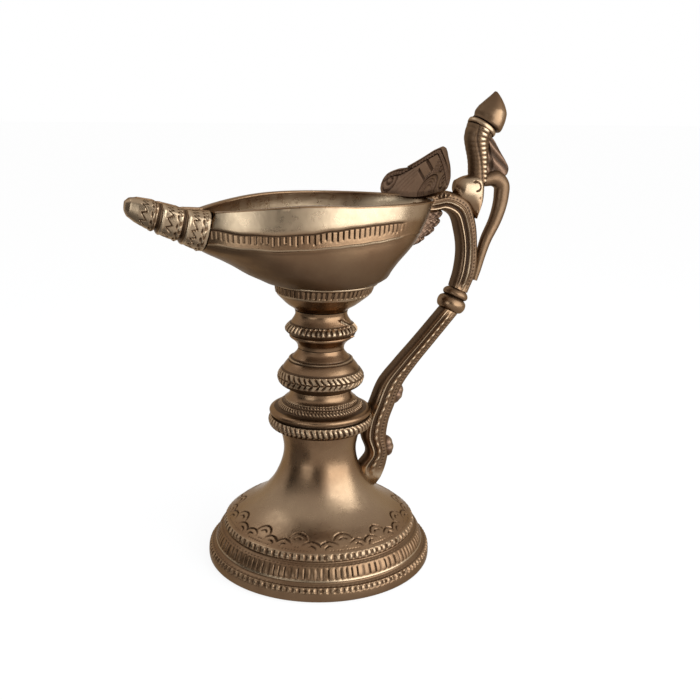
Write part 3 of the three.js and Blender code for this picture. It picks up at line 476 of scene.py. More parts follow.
def metal(name, colour, dull, rough, cloud=55.0, pits=0.35):
    """An aged cast metal. The attribute is above 0 in cuts and in painted shade, and below 0 on rubbed edges
    and painted highlights.
    """
    known = bpy.data.materials.get(name)
    if known:
        return known
    looks = bpy.context.scene.lamp_metals
    material, tree = new_material(name)
    shader = tree.nodes["Principled BSDF"]
    shader.inputs["Metallic"].default_value = 1.0
    shader.inputs["Coat Weight"].default_value = 0.1
    shader.inputs["Coat Roughness"].default_value = 0.22
    shader.inputs["Specular Tint"].default_value = (0.62, 0.52, 0.42, 1)
    where = made(tree, "ShaderNodeTexCoord", {}).outputs["Object"]

    def noise(scale, detail, roughness):
        values = {"Vector": where, "Scale": scale, "Detail": detail, "Roughness": roughness}
        return made(tree, "ShaderNodeTexNoise", values).outputs["Fac"]

    def ranged(value, low, high, start=0.0, end=1.0):
        values = {"Value": value, "From Min": low, "From Max": high, "To Min": start, "To Max": end}
        return made(tree, "ShaderNodeMapRange", values).outputs["Result"]

    def mixed(factor, a, b):
        a, b = (end if hasattr(end, "links") else (*end, 1) for end in (a, b))
        node = made(tree, "ShaderNodeMix", {"Factor": factor, "A": a, "B": b}, data_type="RGBA")
        return node.outputs["Result"]

    def sums(operation, a, b):
        node = made(tree, "ShaderNodeMath", {0: a, 1: b}, operation=operation, use_clamp=True)
        return node.outputs["Value"]

    broad = ranged(noise(cloud, 4, 0.55), 0.36, 0.66)
    small = ranged(noise(cloud * 6, 4, 0.55), 0.40, 0.74)
    dirt_and_shading = made(tree, "ShaderNodeAttribute", {}, attribute_name="dirt_and_shading").outputs["Fac"]
    # The clamp in sums keeps what is above 0, so each of these takes one side of the attribute
    deep = sums("MULTIPLY", dirt_and_shading, 1.0)
    raised = sums("MULTIPLY", sums("MULTIPLY", dirt_and_shading, -1.0), looks.rub_and_highlight)
    base = mixed(sums("MULTIPLY", broad, 0.55), colour, dull)
    base = mixed(sums("MULTIPLY", small, 0.08), base, [0.7 * c for c in dull])
    # Mixing towards bright paints rubbed edges and painted highlights; mixing towards the recess colour
    # paints dirt in cuts and painted shade
    base = mixed(raised, base, looks.bright)
    base = mixed(deep, base, looks.recess_and_shade)
    tree.links.new(base, shader.inputs["Base Color"])
    uneven = ranged(small, 0.0, 1.0, rough - 0.02, rough + 0.08)
    tree.links.new(sums("ADD", uneven, sums("MULTIPLY", deep, 0.35)), shader.inputs["Roughness"])
    dents = made(tree, "ShaderNodeBump", {"Strength": 0.24, "Distance": 0.0005, "Height": noise(130, 3, 0.5)})
    grain = made(tree, "ShaderNodeBump", {"Strength": pits, "Distance": 0.00009,
                                          "Height": noise(1500, 4, 0.65), "Normal": dents.outputs["Normal"]})
    tree.links.new(grain.outputs["Normal"], shader.inputs["Normal"])
    return material


def brass():
    looks = bpy.context.scene.lamp_metals
    return metal("worn_cast_brass", looks.plain, looks.dull, looks.gloss)


def dark_brass():
    looks = bpy.context.scene.lamp_metals
    return metal("tarnished_leaf_brass", looks.leaf, [0.6 * c for c in looks.leaf], looks.gloss + 0.12,
                 cloud=90.0, pits=0.8)


def steel():
    looks = bpy.context.scene.lamp_metals
    return metal("dull_rod_steel", looks.steel, [0.6 * c for c in looks.steel], 0.42, cloud=120.0, pits=0.8)


METALS = {"aged_brass": brass, "dark_brass": dark_brass, "rod_steel": steel}


# Foot

LEDGE_DOTS = 150
LEAF_RADIUS = 33.5  # where the leaves' pitch is measured
LEAF_LOBES = ((0, 4.2, 3.6, 0), (-5.1, 0.9, 3.4, 28), (5.1, 0.9, 3.4, -28))  # across, up, radius, lean
LEAF_ROWS = 30
BELL_ROWS = 32
FOOT_DIRT = {"lower_edge": -0.6, "groove": 0.25, "rim": 0.28, "inside": 0.6}


def arcs(x, y, lobes):
    """How deep the cut outlines of round lobes are at a point: each upper arc and the mark inside it."""
    deep = 0.0
    for cx, cy, r, lean in lobes:
        dx, dy = x - cx, y - cy
        away = math.hypot(dx, dy)
        way = math.degrees(math.atan2(dy, dx)) - 90 - lean
        way = (way + 180) % 360 - 180
        deep = max(deep, bump(away, r, 0.5) * bump(way, 0, 104) ** 0.4)
        deep = max(deep, bump(away, 0.42 * r, 0.42) * bump(way, 0, 85) ** 0.4)
    return deep


def bell_wear(height):
    """The bell is rubbed most at half its height."""
    return -0.32 * bump(height, 27, 13)


def leaf_band(share_of, across, angle, height):
    """The leaves' chiselled outlines round the bell's shoulder, and the dots at their feet."""
    s = bpy.context.scene.lamp_foot
    up = across * mm(s.leaf_height)
    pitch = 2 * math.pi * LEAF_RADIUS / s.leaves
    x = ((share_of * s.leaves + 0.04 * math.sin(5 * angle)) % 1 - 0.5) * pitch
    cut = arcs(x, up - 0.3, LEAF_LOBES)
    if up < 2.2 - 0.3 * abs(x):
        cut = max(cut, 0.75 * bump(math.hypot((x % 1.1) - 0.55, (up % 1.3) - 0.65), 0, 0.34))
    cut *= ends_of(across, 0.05)
    near = bump(cut, 0.3, 0.3)
    dirt_and_shading = cut if cut > 0.12 else bell_wear(height) + 0.06 * bump(height, 16.6, 5) - 0.25 * near
    return mm(s.leaf_depth) * (0.35 * near - cut), dirt_and_shading


def foot_cuts(band, across, angle, radius, height):
    s = bpy.context.scene.lamp_foot
    deep = mm(s.cut_depth)
    hand = by_hand(angle, len(band))
    share_of = angle / (2 * math.pi)
    if band == "lower":
        return milled(share_of * s.lower_ticks + hand, 0.42, across, 0.2, deep, 0.7, -0.2)
    if band == "middle":
        return milled(share_of * s.middle_ticks + hand, 0.2, across, 0.12, 0.8 * deep, 0.9, 0.1)
    if band == "upper":
        return milled(share_of * s.upper_ticks + hand, 0.36, across, 0.2, deep, 0.7, -0.35)
    if band == "ledge":
        dot = bump(math.hypot((share_of * LEDGE_DOTS + hand) % 1 - 0.5, (across - 0.5) * 1.3), 0, 0.42)
        return -0.3 * dot, 0.25 + 0.5 * dot
    if band == "lace":
        return leaf_band(share_of, across, angle, height)
    return 0, FOOT_DIRT.get(band, bell_wear(height))


def foot_outline():
    slope = smooth([(37.4, 16.6), (34.4, 19.0), (29.0, 22.0), (24.7, 25.0), (21.75, 28.0), (19.4, 31.0),
                    (17.7, 34.0), (16.0, 38.0), (14.9, 42.0), (14.6, 46.0), (15.2, 50.0), (16.1, 53.4)], 8)
    lace = mm(bpy.context.scene.lamp_foot.leaf_height)
    return outline(
        run([(41.3, 0.0), (44.6, 0.0)], 1.2, curved=False),
        run([(44.6, 0.0), (45.2, 0.5), (45.4, 2.0), (45.3, 3.7)], 0.5, "rim"),
        run([(45.3, 3.7), (45.0, 4.9), (44.3, 5.6)], 0.28, "lower"),
        run([(44.3, 5.6), (43.6, 5.8), (43.0, 6.1)], 0.3, "ledge"),
        run([(43.0, 6.1), (42.5, 6.4), (42.3, 6.7)], 0.3, "groove"),
        run([(42.3, 6.7), (42.5, 6.9), (42.5, 7.2), (42.3, 7.5)], 0.25, "lower_edge"),
        run([(42.3, 7.5), (42.1, 8.6), (41.4, 10.4), (40.4, 12.0)], 0.4, "middle"),
        run([(40.4, 12.0), (39.9, 12.4), (39.3, 12.7)], 0.3, "ledge"),
        run([(39.3, 12.7), (38.8, 13.0), (38.7, 13.3), (38.9, 13.7)], 0.25, "groove"),
        run([(38.9, 13.7), (39.0, 14.4), (38.6, 15.6), (38.0, 16.2)], 0.27, "upper"),
        run([(38.0, 16.2), (37.7, 16.35), (37.4, 16.6)], 0.3),
        rows_along(slope, 0, lace, LEAF_ROWS, "lace"),
        rows_along(slope, lace, lengths_of(slope)[-1], BELL_ROWS, "plain"),
        run([(16.1, 53.4), (ROD_HOLE, 53.4)], 3.0, curved=False),
        run([(ROD_HOLE, 53.4), (ROD_HOLE, 44.9)], 4.0, "inside", curved=False),
        run([(ROD_HOLE, 44.9), (9.2, 44.9)], 3.0, "inside", curved=False),
        run([(9.2, 44.9), (9.2, 41.9), (13.6, 33.7), (17.4, 27.9), (22.6, 23.2), (28.4, 19.1), (33.8, 15.6),
             (33.8, 7.6), (41.3, 3.9), (41.3, 0.0)], 2.0, "inside", curved=False),
    )[:-1]


class LAMP_OT_foot(bpy.types.Operator):
    """Turn the bell foot and cut its rings and leaves"""
    bl_idname = "lamp.foot"
    bl_label = "Bell foot"

    def execute(self, context):
        skin = turned(foot_outline(), 600, foot_cuts, ring=True)
        finish("bell_foot", skin, "aged_brass", "foot_bell")
        return {"FINISHED"}


# Stem

STEM_DIRT = {"groove": 0.7, "edge": -0.5}


def stem_cuts(band, across, angle, radius, height):
    s = bpy.context.scene.lamp_stem
    deep = mm(s.cut_depth)
    hand = by_hand(angle, len(band), 0.12)
    share_of = angle / (2 * math.pi)
    if band == "collar":
        lean = 0.9 * across if across > 0.42 else 0.8 - across
        return milled(share_of * s.collar_cuts + hand + lean, 0.36, across, 0.12, deep, 0.85, -0.5)
    if band == "fine":
        cut = pulse(share_of * s.fine_cuts + hand + 0.5 * across, 0.45) * ends_of(across, 0.2)
        return -0.6 * deep * cut, 0.25 + 0.75 * cut if cut > 0.1 else -0.35
    if band == "herringbone":
        lean = 0.9 * abs(across - 0.45)
        cut = pulse(share_of * s.lower_knop_cuts + hand + 1.6 * lean, 0.30) * ends_of(across, 0.1)
        cut = max(cut, bump(across, 0.45, 0.07) * 0.7)
        return -deep * cut, 0.85 * cut if cut > 0.1 else -0.5
    if band == "upright":
        return milled(share_of * s.upper_knop_cuts + hand, 0.45, across, 0.12, deep, 0.85, -0.6)
    if band == "beads":
        cut = pulse(share_of * s.cup_beads + hand, 0.4) * ends_of(across, 0.12)
        return -0.8 * deep * cut, max(0.2, 0.8 * cut)
    return 0, STEM_DIRT.get(band, 0)


def collar_outline():
    return on_rod(
        run([(15.5, 53.7), (17.0, 53.75), (18.4, 54.3)], 0.5),
        run([(18.4, 54.3), (20.0, 55.3), (20.8, 56.9), (20.75, 58.2), (20.0, 59.2)], 0.3, "collar"),
        run([(20.0, 59.2), (18.9, 59.5), (18.7, 60.1), (19.5, 60.3)], 0.4, "groove"),
        run([(19.5, 60.3), (20.3, 60.7), (20.4, 61.6), (19.9, 62.3), (18.8, 62.7)], 0.35),
        run([(18.8, 62.7), (17.2, 63.0), (16.8, 63.3)], 0.4, "groove"),
        run([(16.8, 63.3), (17.0, 63.8), (16.4, 64.5), (15.6, 65.0)], 0.3, "fine"),
        run([(15.6, 65.0), (14.9, 65.1), (14.7, 65.5)], 0.3, "groove"),
        run([(14.7, 65.5), (14.7, 66.0), (14.1, 66.5)], 0.25, "fine"),
        run([(14.1, 66.5), (13.0, 67.5), (12.4, 68.6), (12.2, 70.3)], 0.45),
    )


def lower_knop_outline():
    return on_rod(
        run([(12.7, 70.6), (14.5, 71.6), (15.8, 72.4), (16.8, 73.5)], 0.5, "groove"),
        run([(16.8, 73.5), (17.3, 75.1), (17.2, 76.3), (16.6, 77.4), (15.9, 78.4)], 0.3, "herringbone"),
        run([(15.9, 78.4), (15.4, 78.7), (15.2, 79.0)], 0.25, "groove"),
        run([(15.2, 79.0), (14.3, 80.4), (13.5, 81.4), (13.0, 81.9)], 0.4),
        run([(13.0, 81.9), (12.6, 81.95), (12.6, 82.3)], 0.25, "groove"),
        run([(12.6, 82.3), (12.7, 82.8), (12.3, 83.0)], 0.25, "edge"),
        run([(12.3, 83.0), (11.6, 83.0), (11.5, 83.3)], 0.25, "groove"),
        run([(11.5, 83.3), (10.4, 84.5), (9.5, 85.6), (9.0, 86.8)], 0.5),
    )


def upper_knop_outline():
    return on_rod(
        run([(9.1, 87.1), (9.35, 88.4), (10.3, 89.8), (11.3, 90.7)], 0.5),
        run([(11.3, 90.7), (12.4, 91.6), (12.5, 92.3), (12.1, 92.7)], 0.35),
        run([(12.1, 92.7), (12.6, 93.0), (13.6, 93.6), (14.2, 94.3)], 0.4, "groove"),
        run([(14.2, 94.3), (14.3, 95.0), (13.6, 96.1), (12.6, 97.0)], 0.25, "upright"),
        run([(12.6, 97.0), (12.2, 97.1), (12.0, 97.4)], 0.3, "groove"),
        run([(12.0, 97.4), (11.3, 98.4), (10.6, 99.6), (10.2, 100.8), (10.4, 102.2)], 0.5),
    )


def cup_outline():
    return on_rod(
        run([(10.4, 102.5), (11.3, 103.4), (13.8, 105.0), (16.4, 107.2), (18.1, 108.7)], 0.6),
        run([(18.1, 108.7), (18.4, 109.2), (18.8, 109.6)], 0.3, "edge"),
        run([(18.8, 109.6), (19.2, 110.9), (19.5, 112.5)], 0.35, "beads"),
        run([(19.5, 112.5), (20.5, 113.0), (20.7, 113.5), (20.4, 113.9)], 0.3, "edge"),
        back=5.0,
    )


def stem_skin(rows, columns):
    return turned(rows, columns, stem_cuts, ring=True)


def flawed(skin):
    """The casting flaw on the upper knop: a short raised seam, and a nub under the belly."""
    dirt_and_shading = skin.verts.layers.float["dirt_and_shading"]
    for v in skin.verts:
        angle = math.degrees(math.atan2(v.co.y, v.co.x))
        along = (v.co.z - 96.6) / 3.2
        if 0 < along < 1:
            off = angle + 74 - 26 * (1 - along)
            ridge = bump(off, 0, 6.5) - 0.8 * bump(off, 9, 5)
            v.co += Vector((v.co.x, v.co.y, 0)).normalized() * 0.95 * ridge
            v[dirt_and_shading] = max(-1, min(1, v[dirt_and_shading] - ridge))
        nub = bump(angle, -38, 6) * bump(v.co.z, 92.6, 1.3)
        v.co += Vector((v.co.x, v.co.y, 0)).normalized() * 1.2 * nub
    return skin


def cast_aside(skin):
    """The cup sits a little to the handle's side at its top."""
    for v in skin.verts:
        v.co.x += 1.4 * min(max((v.co.z - 104) / 9, 0), 1) * (1 if math.hypot(v.co.x, v.co.y) > 5 else 0)
    return skin


class LAMP_OT_stem(bpy.types.Operator):
    """Turn the collar, the two knops and the cup, and cut their bands"""
    bl_idname = "lamp.stem"
    bl_label = "Stem"

    def execute(self, context):
        finish("collar", stem_skin(collar_outline(), 464), "aged_brass", "stem_collar")
        finish("knop_lower", stem_skin(lower_knop_outline(), 440), "aged_brass", "lower_knop")
        finish("knop_upper", flawed(stem_skin(upper_knop_outline(), 420)), "aged_brass", "upper_knop")
        finish("cup", cast_aside(stem_skin(cup_outline(), 448)), "aged_brass", "bowl_cup")
        return {"FINISHED"}


# Bowl

BOWL_BASE = 114.2
BOWL_HEIGHT = 31.2
BOWL_FOOT = 22.8  # radius where the bowl meets the cup
RIM = BOWL_BASE + BOWL_HEIGHT
REACH = {
    "front": ((0, 0), (0.05, 0.10), (0.13, 0.265), (0.25, 0.456), (0.36, 0.658), (0.46, 0.86), (0.52, 0.942),
              (0.66, 0.974), (1, 1)),
    "side": ((0, 0), (0.05, 0.18), (0.13, 0.39), (0.25, 0.62), (0.38, 0.80), (0.51, 0.90), (0.7, 0.95),
             (1, 1)),
    "rear": ((0, 0), (0.05, 0.14), (0.13, 0.20), (0.25, 0.33), (0.38, 0.51), (0.51, 0.665), (0.7, 0.823),
             (1, 1)),
}
SMOOTH_REACH = {side: smooth(table) for side, table in REACH.items()}
NOSE_JOINT = 46.5
NOSE_LEAN = 0.19
NOSE_TOP = RIM - 1.7
NOSE_RISE = 4.2
CHANNEL_DEPTH = 5.4
# Heights of the girdle bead and of the cut line above it, as shares of the bowl's height. The course
# gives both by the angle from the handle
GIRDLE = 0.519
CUT_LINE = 0.712
BAND_COURSE = ((0, 0.600, 0.740), (24, 0.612, 0.750), (40, 0.632, 0.775), (56, 0.605, 0.787),
               (72, 0.580, 0.777), (88, 0.560, 0.758), (104, 0.534, 0.719), (120, 0.510, 0.683),
               (136, 0.508, 0.675), (152, 0.545, 0.706), (168, 0.600, 0.775), (180, 0.630, 0.820))
CUT_START = 0.045  # from the bead to the feet of the cuts
CUT_SPAN = CUT_LINE - GIRDLE - 0.06
CUT_LANES = 5  # columns to one upright cut
FLOOR_LIFT = 5.4  # the bowl's floor, above its base


def reach(side, t):
    """How far the wall has come out at a share of the bowl's height: 0 at the base, 1 at the lip."""
    line = SMOOTH_REACH[side]
    i = min(max(bisect_right(line, t, key=lambda p: p.x) - 1, 0), len(line) - 2)
    a, b = line[i], line[i + 1]
    return a.y + (b.y - a.y) * min(max((t - a.x) / max(b.x - a.x, 1e-9), 0), 1)


def bowl_radius(angle, t):
    """From the stem's axis to the bowl's outside, at an angle and a share of the height."""
    s = bpy.context.scene.lamp_bowl
    c, d = math.cos(angle), math.sin(angle)
    end, side = (s.front, "front") if c < 0 else (s.rear, "rear")
    length = BOWL_FOOT + (mm(end) - BOWL_FOOT) * reach(side, t)
    width = BOWL_FOOT + (mm(s.half_width) - BOWL_FOOT) * reach("side", t)
    power = 2 - (0.22 if c < 0 else 0.14) * t
    return ((abs(c) / length) ** power + (abs(d) / width) ** power) ** (-1 / power)


def lip_height(angle):
    ahead = max(-math.cos(angle), 0)
    near = max(-math.sin(angle), 0)
    return RIM - 0.6 * math.cos(angle) ** 2 - 1.8 * ahead ** 3 - 1.5 * ahead ** 5 + 1.9 * ahead * near ** 0.5


def from_rear(angle):
    """How far an angle lies from the handle, in degrees."""
    return abs((math.degrees(angle) + 180) % 360 - 180)


def on_course(t, angle):
    """Moves a share of the height so that the bead and the line follow their wavy course."""
    bead, line = from_table(BAND_COURSE, from_rear(angle), soft=True)
    if t < GIRDLE:
        return t * bead / GIRDLE
    if t < CUT_LINE:
        return bead + (t - GIRDLE) * (line - bead) / (CUT_LINE - GIRDLE)
    return line + (t - CUT_LINE) * (1 - line) / (1 - CUT_LINE)


def bowl_rows():
    """The shell's rows, from its underside over the lip to its floor: the kind of each, and its share of
    the height, of the lip or of the floor."""
    under = [0, 0.015, 0.04, 0.07, 0.1, 0.14, 0.18, 0.22, 0.26, 0.30, 0.34, 0.38, 0.42, 0.455]
    bead = [GIRDLE + k * 0.009 for k in range(-4, 5)]
    cuts = [GIRDLE + CUT_START + CUT_SPAN * k / 12 for k in range(13)]
    line = [CUT_LINE + k * 0.009 for k in range(-1, 3)]
    over = [0.76, 0.80, 0.84, 0.88, 0.92, 0.955, 0.98]
    inside = [0.93, 0.88, 0.82, 0.76, 0.68, 0.6, 0.5, 0.42, 0.34, 0.27, 0.2, 0.14, 0.09, 0.05, 0.02, 0]
    kinds = (("pole", [0]), ("out", under + bead), ("cut", cuts), ("out", line + over),
             ("lip", [k / 12 for k in range(13)]), ("in", inside), ("floor", [0.8, 0.6, 0.4, 0.2]),
             ("top", [0]))
    return [(kind, t) for kind, shares in kinds for t in shares]


def even_angles(columns):
    """Angles of the bowl's columns, evenly spaced along its oval."""
    turns = [2 * math.pi * k / FINE_TURN for k in range(FINE_TURN + 1)]
    loop = [round_stem(bowl_radius(angle, 0.6), angle) for angle in turns]
    lengths = lengths_of(loop)
    angles = []
    for j in range(columns):
        _, i, part = at_length(loop, lengths, lengths[-1] * j / columns)
        angles.append(2 * math.pi * (i + part) / FINE_TURN)
    return angles


def outer_wall(kind, t, column, angle, top):
    """A point of the wall's outside and its dirt and painted shading: the girdle bead, the cut line above it
    and, between them, the band of upright cuts. The band fades out towards the rear."""
    s = bpy.context.scene.lamp_bowl
    fade = min(max((from_rear(angle) - math.degrees(s.plain_rear)) / 7, 0), 1)
    on_wall = on_course(t, angle)
    bead = bump(t, GIRDLE, 0.020)
    groove = bump(t, CUT_LINE, 0.015) * min(fade * 2, 1)
    r = bowl_radius(angle, on_wall)
    r += 0.5 * bead * (0.35 + 0.65 * fade) - 0.35 * groove
    dirt_and_shading = 0.9 * groove - 0.65 * bead * fade + bump(t, GIRDLE - 0.035, 0.02) * 0.4 * fade
    # The underside is painted darker towards the base: painted shade
    if t < GIRDLE - 0.03:
        dirt_and_shading += 0.62 * min(max(1 - t / GIRDLE, 0), 1) ** 0.65
    # Above the cut line the wall is painted lighter: painted highlight
    if t > CUT_LINE:
        dirt_and_shading -= 0.75 * min((t - CUT_LINE) / 0.07, 1) * (0.55 + 0.45 * fade)
    if kind == "cut" and column % CUT_LANES == 2:
        number = column // CUT_LANES
        across = (t - GIRDLE - CUT_START) / CUT_SPAN
        short = 0.18 + 0.10 * math.sin(number * 1.7) + 0.06 * math.sin(number * 4.3)
        cut = min(max((across - short) / 0.12, 0), 1) * fade
        r -= mm(s.cut_depth) * cut
        dirt_and_shading = max(dirt_and_shading, cut) if cut > 0.05 else dirt_and_shading
    return round_stem(r, angle, BOWL_BASE + on_wall * top), max(-1, min(1, dirt_and_shading))


def bowl_skin():
    """The boat-shaped shell with its flat lip, cut off where the nose begins."""
    s = bpy.context.scene.lamp_bowl
    rows = bowl_rows()
    columns = CUT_LANES * s.cuts
    angles = even_angles(columns)
    lip, wall = mm(s.lip), mm(s.wall)

    def place(row, around):
        kind, t = rows[row]
        column = round(around * columns) % columns
        angle = angles[column]
        top = lip_height(angle) - BOWL_BASE
        if kind == "pole":
            return Vector((0, 0, BOWL_BASE)), 0
        if kind in ("out", "cut"):
            return outer_wall(kind, t, column, angle, top)
        edge_out = bowl_radius(angle, 1)
        if kind == "lip":
            turn_in = math.pi * t
            width = lip / 2
            r = edge_out - width + width * math.copysign(abs(math.cos(turn_in)) ** 0.35, math.cos(turn_in))
            z = BOWL_BASE + top - 0.7 + 0.7 * math.sin(turn_in) ** 0.5
            return round_stem(r, angle, z), -0.5 if 0.1 < t < 0.25 else 0
        if kind == "top":
            return Vector((0, 0, BOWL_BASE + FLOOR_LIFT)), 0.35
        t_in = t if kind == "in" else 0
        lift = FLOOR_LIFT / BOWL_HEIGHT * (1 - t_in) ** 2
        r = bowl_radius(angle, t_in) - wall - 0.8 * (1 - t_in)
        if t_in > 0.86:
            r += (edge_out - lip - r) * (t_in - 0.86) / 0.14
        if kind == "floor":
            r *= t
        z = BOWL_BASE + (t_in + lift) * top
        # The inner wall is painted lighter towards the lip: painted highlight
        return round_stem(r, angle, z), 0.05 - 0.9 * min(max(0, t_in - 0.4) * 2.5, 1)

    skin = blank(len(rows), columns, place)
    cut = bmesh.ops.bisect_plane(skin, geom=skin.verts[:] + skin.edges[:] + skin.faces[:], dist=1e-5,
                                 plane_co=(-NOSE_JOINT + 0.15, 0, NOSE_TOP - 8.1),
                                 plane_no=Vector((1, 0, -NOSE_LEAN)).normalized(), clear_inner=True)
    bmesh.ops.holes_fill(skin, edges=[g for g in cut["geom_cut"] if isinstance(g, bmesh.types.BMEdge)])
    bmesh.ops.recalc_face_normals(skin, faces=skin.faces)
    return skin


class LAMP_OT_bowl(bpy.types.Operator):
    """Make the boat-shaped bowl with its lip, girdle bead and band of cuts"""
    bl_idname = "lamp.bowl"
    bl_label = "Bowl"

    def execute(self, context):
        finish("bowl", bowl_skin(), "aged_brass", "oil_bowl")
        return {"FINISHED"}


# Nose

NOSE_SHAPE = ((0.00, -0.25, 1.00, 0.935), (0.28, -0.12, 0.88, 0.74), (0.57, 0.42, 0.74, 0.66),
              (0.68, 0.66, 0.68, 0.655), (0.85, 0.88, 0.54, 0.54), (0.95, 0.88, 0.39, 0.407),
              (1.00, 0.70, 0.20, 0.262))  # share of the length, then of the rise, the width and the depth
NOSE_GROOVES = (0.303, 0.608)
TOP_EDGE = math.radians(28)  # from straight up to the edge of the nose's flat top
OUTSIDE = 0.66  # share of a section's points that lie outside that edge


def nose_marks(f, round_way):
    """The chiselled zigzag, dots and edge line of each band, at a share of the length and a way round."""
    s = bpy.context.scene.lamp_nose
    edges = (0.0, *NOSE_GROOVES, 1.0)
    band = sum(f > g for g in NOSE_GROOVES)
    start, end = edges[band] * mm(s.length), edges[band + 1] * mm(s.length)
    x = f * mm(s.length) - start
    width = end - start
    if band == 2:
        width = min(width, 9.0)
    wave = abs(((round_way + 0.7) / 2.3) % 1 - 0.5) * 2
    deep = bump(x, width * 0.58 - 1.0 + 2.0 * wave, 0.42)
    dash = abs(((round_way + 0.5) / 2.3) % 1 - 0.5) * 2.3
    deep = max(deep, bump(math.hypot(x - width * 0.28, dash * 0.6), 0, 0.55))
    deep = max(deep, 0.6 * bump(math.hypot((x - width * 0.16) * 0.5, dash - 0.9), 0, 0.4))
    line = bump(x, width - 0.75, 0.3) if band < 2 else bump(x, 1.5, 0.3)
    return max(deep, 0.7 * line)


def nose_skin():
    s = bpy.context.scene.lamp_nose
    length, wide, tall = mm(s.length), mm(s.half_width), mm(s.depth)
    stations, columns = 170, 190
    middle = NOSE_TOP - tall / 2

    def place(row, around):
        f = min(max((row - 1) / (stations - 1), 0), 1)
        rise, width, depth = from_table(NOSE_SHAPE, f)
        groove = max(bump(f, g, 0.030) for g in NOSE_GROOVES)
        ridge = max(max(bump(f, g - 0.05, 0.02), bump(f, g + 0.05, 0.02)) for g in (0.0, *NOSE_GROOVES))
        lines = [f - g for g in (0.0, *NOSE_GROOVES) if f >= g]
        band_end = min([g for g in (*NOSE_GROOVES, 1.0) if g >= f])
        share_of = lines[-1] / max(band_end - (f - lines[-1]), 1e-6)
        swell = 0.25 * (1 - (2 * share_of - 1) ** 2) if f < NOSE_GROOVES[1] else 0
        shrink = mm(s.groove) * groove - swell - 0.2 * ridge
        tip = max(0.0, (f - 0.93) / 0.07)
        round_off = math.sqrt(max(1 - tip * tip, 0.0))
        half = max(wide * width - shrink, 0.4) * (0.55 + 0.45 * round_off)
        deep = max(tall * depth - 2 * shrink, 0.6) * (0.6 + 0.4 * round_off)
        top = NOSE_TOP + NOSE_RISE * rise - 0.25 * shrink - 0.4 * tip
        x = -NOSE_JOINT - 0.15 - length * f
        if row in (0, stations + 1):
            z = top - 0.45 * deep
            return Vector((x + (z - middle) * NOSE_LEAN, 0, z)), 0.2
        channel = max(0.0, min(1.0, (0.90 - f) / 0.05))
        ch_half = (5.6 + (1.6 - 5.6) * f) * channel
        ch_deep = CHANNEL_DEPTH * (1 - 0.35 * f) * channel
        if around < OUTSIDE:
            angle = TOP_EDGE + (2 * math.pi - 2 * TOP_EDGE) * (around / OUTSIDE)
            side = math.copysign(abs(math.sin(angle)) ** 0.8, math.sin(angle)) * half
            up = math.cos(angle)
            height = top - deep * 0.28
            height += up ** 0.7 * deep * 0.28 if up > 0 else -(abs(up) ** 0.9) * deep * 0.72
            round_way = abs(angle - math.pi) * deep * 0.5
            cut = nose_marks(f, round_way + 0.3) * (1 - groove) * min(1, (0.97 - f) * 20 if f > 0.92 else 1)
            out = Vector((side / half, (height - (top - 0.5 * deep)) / deep)).normalized()
            out *= -mm(s.mark) * cut
            side += out.x
            height += out.y
            dirt_and_shading = max(cut, 0.9 * groove) if cut + groove > 0.08 else -0.62 - 0.3 * ridge
        else:
            q = (around - OUTSIDE) / (1 - OUTSIDE)
            edge = math.sin(TOP_EDGE) ** 0.8 * half
            lip = top - deep * 0.28 + math.cos(TOP_EDGE) ** 0.7 * deep * 0.28
            inner = min(ch_half, edge * 0.86)
            path = ((edge, lip), (inner + 0.3 * (edge - inner), top - 0.05), (inner, top - 0.3),
                    (inner * 0.92, top - 0.5 * ch_deep - 0.1), (inner * 0.6, top - ch_deep - 0.1),
                    (0, top - 1.06 * ch_deep - 0.1))
            t = (1 - abs(2 * q - 1)) * (len(path) - 1)
            i = min(int(t), len(path) - 2)
            a, b = path[i], path[i + 1]
            side = (a[0] + (b[0] - a[0]) * (t - i)) * (-1 if q < 0.5 else 1)
            height = a[1] + (b[1] - a[1]) * (t - i)
            dirt_and_shading = 0.3 if t > 2 and channel > 0 else 0
        return Vector((x + (height - middle) * NOSE_LEAN, side, height)), dirt_and_shading

    return blank(stations + 2, columns, place)


class LAMP_OT_nose(bpy.types.Operator):
    """Make the long nose with its three chiselled bands and the open channel for the wick"""
    bl_idname = "lamp.nose"
    bl_label = "Nose"

    def execute(self, context):
        finish("wick_nose", nose_skin(), "aged_brass", "spout_nose")
        return {"FINISHED"}


# Handle

ROOT_X = 46.0
KNOT_X = ROOT_X + 12.8
KNOT_Z = RIM - 43.3
KNOT_TILT = 0.44
KNOT_END = 4.8
TABLE_WIDTH = 8.6  # the handle's width that both rows of half widths are for
ARCH_WIDTHS = (3.4, 3.6, 3.9, 4.3, 4.3, 4.2, 4.1, 3.9)
LOWER_WIDTHS = (3.9, 4.0, 4.1, 4.2, 4.3, 4.2, 4.0, 3.9, 3.7, 3.0, 1.4)


def by_knot(along, out):
    """The (x, height) pair at a way along the knot's axis and a way out from it."""
    s, c = math.sin(KNOT_TILT), math.cos(KNOT_TILT)
    return KNOT_X + s * along + c * out, KNOT_Z + c * along - s * out


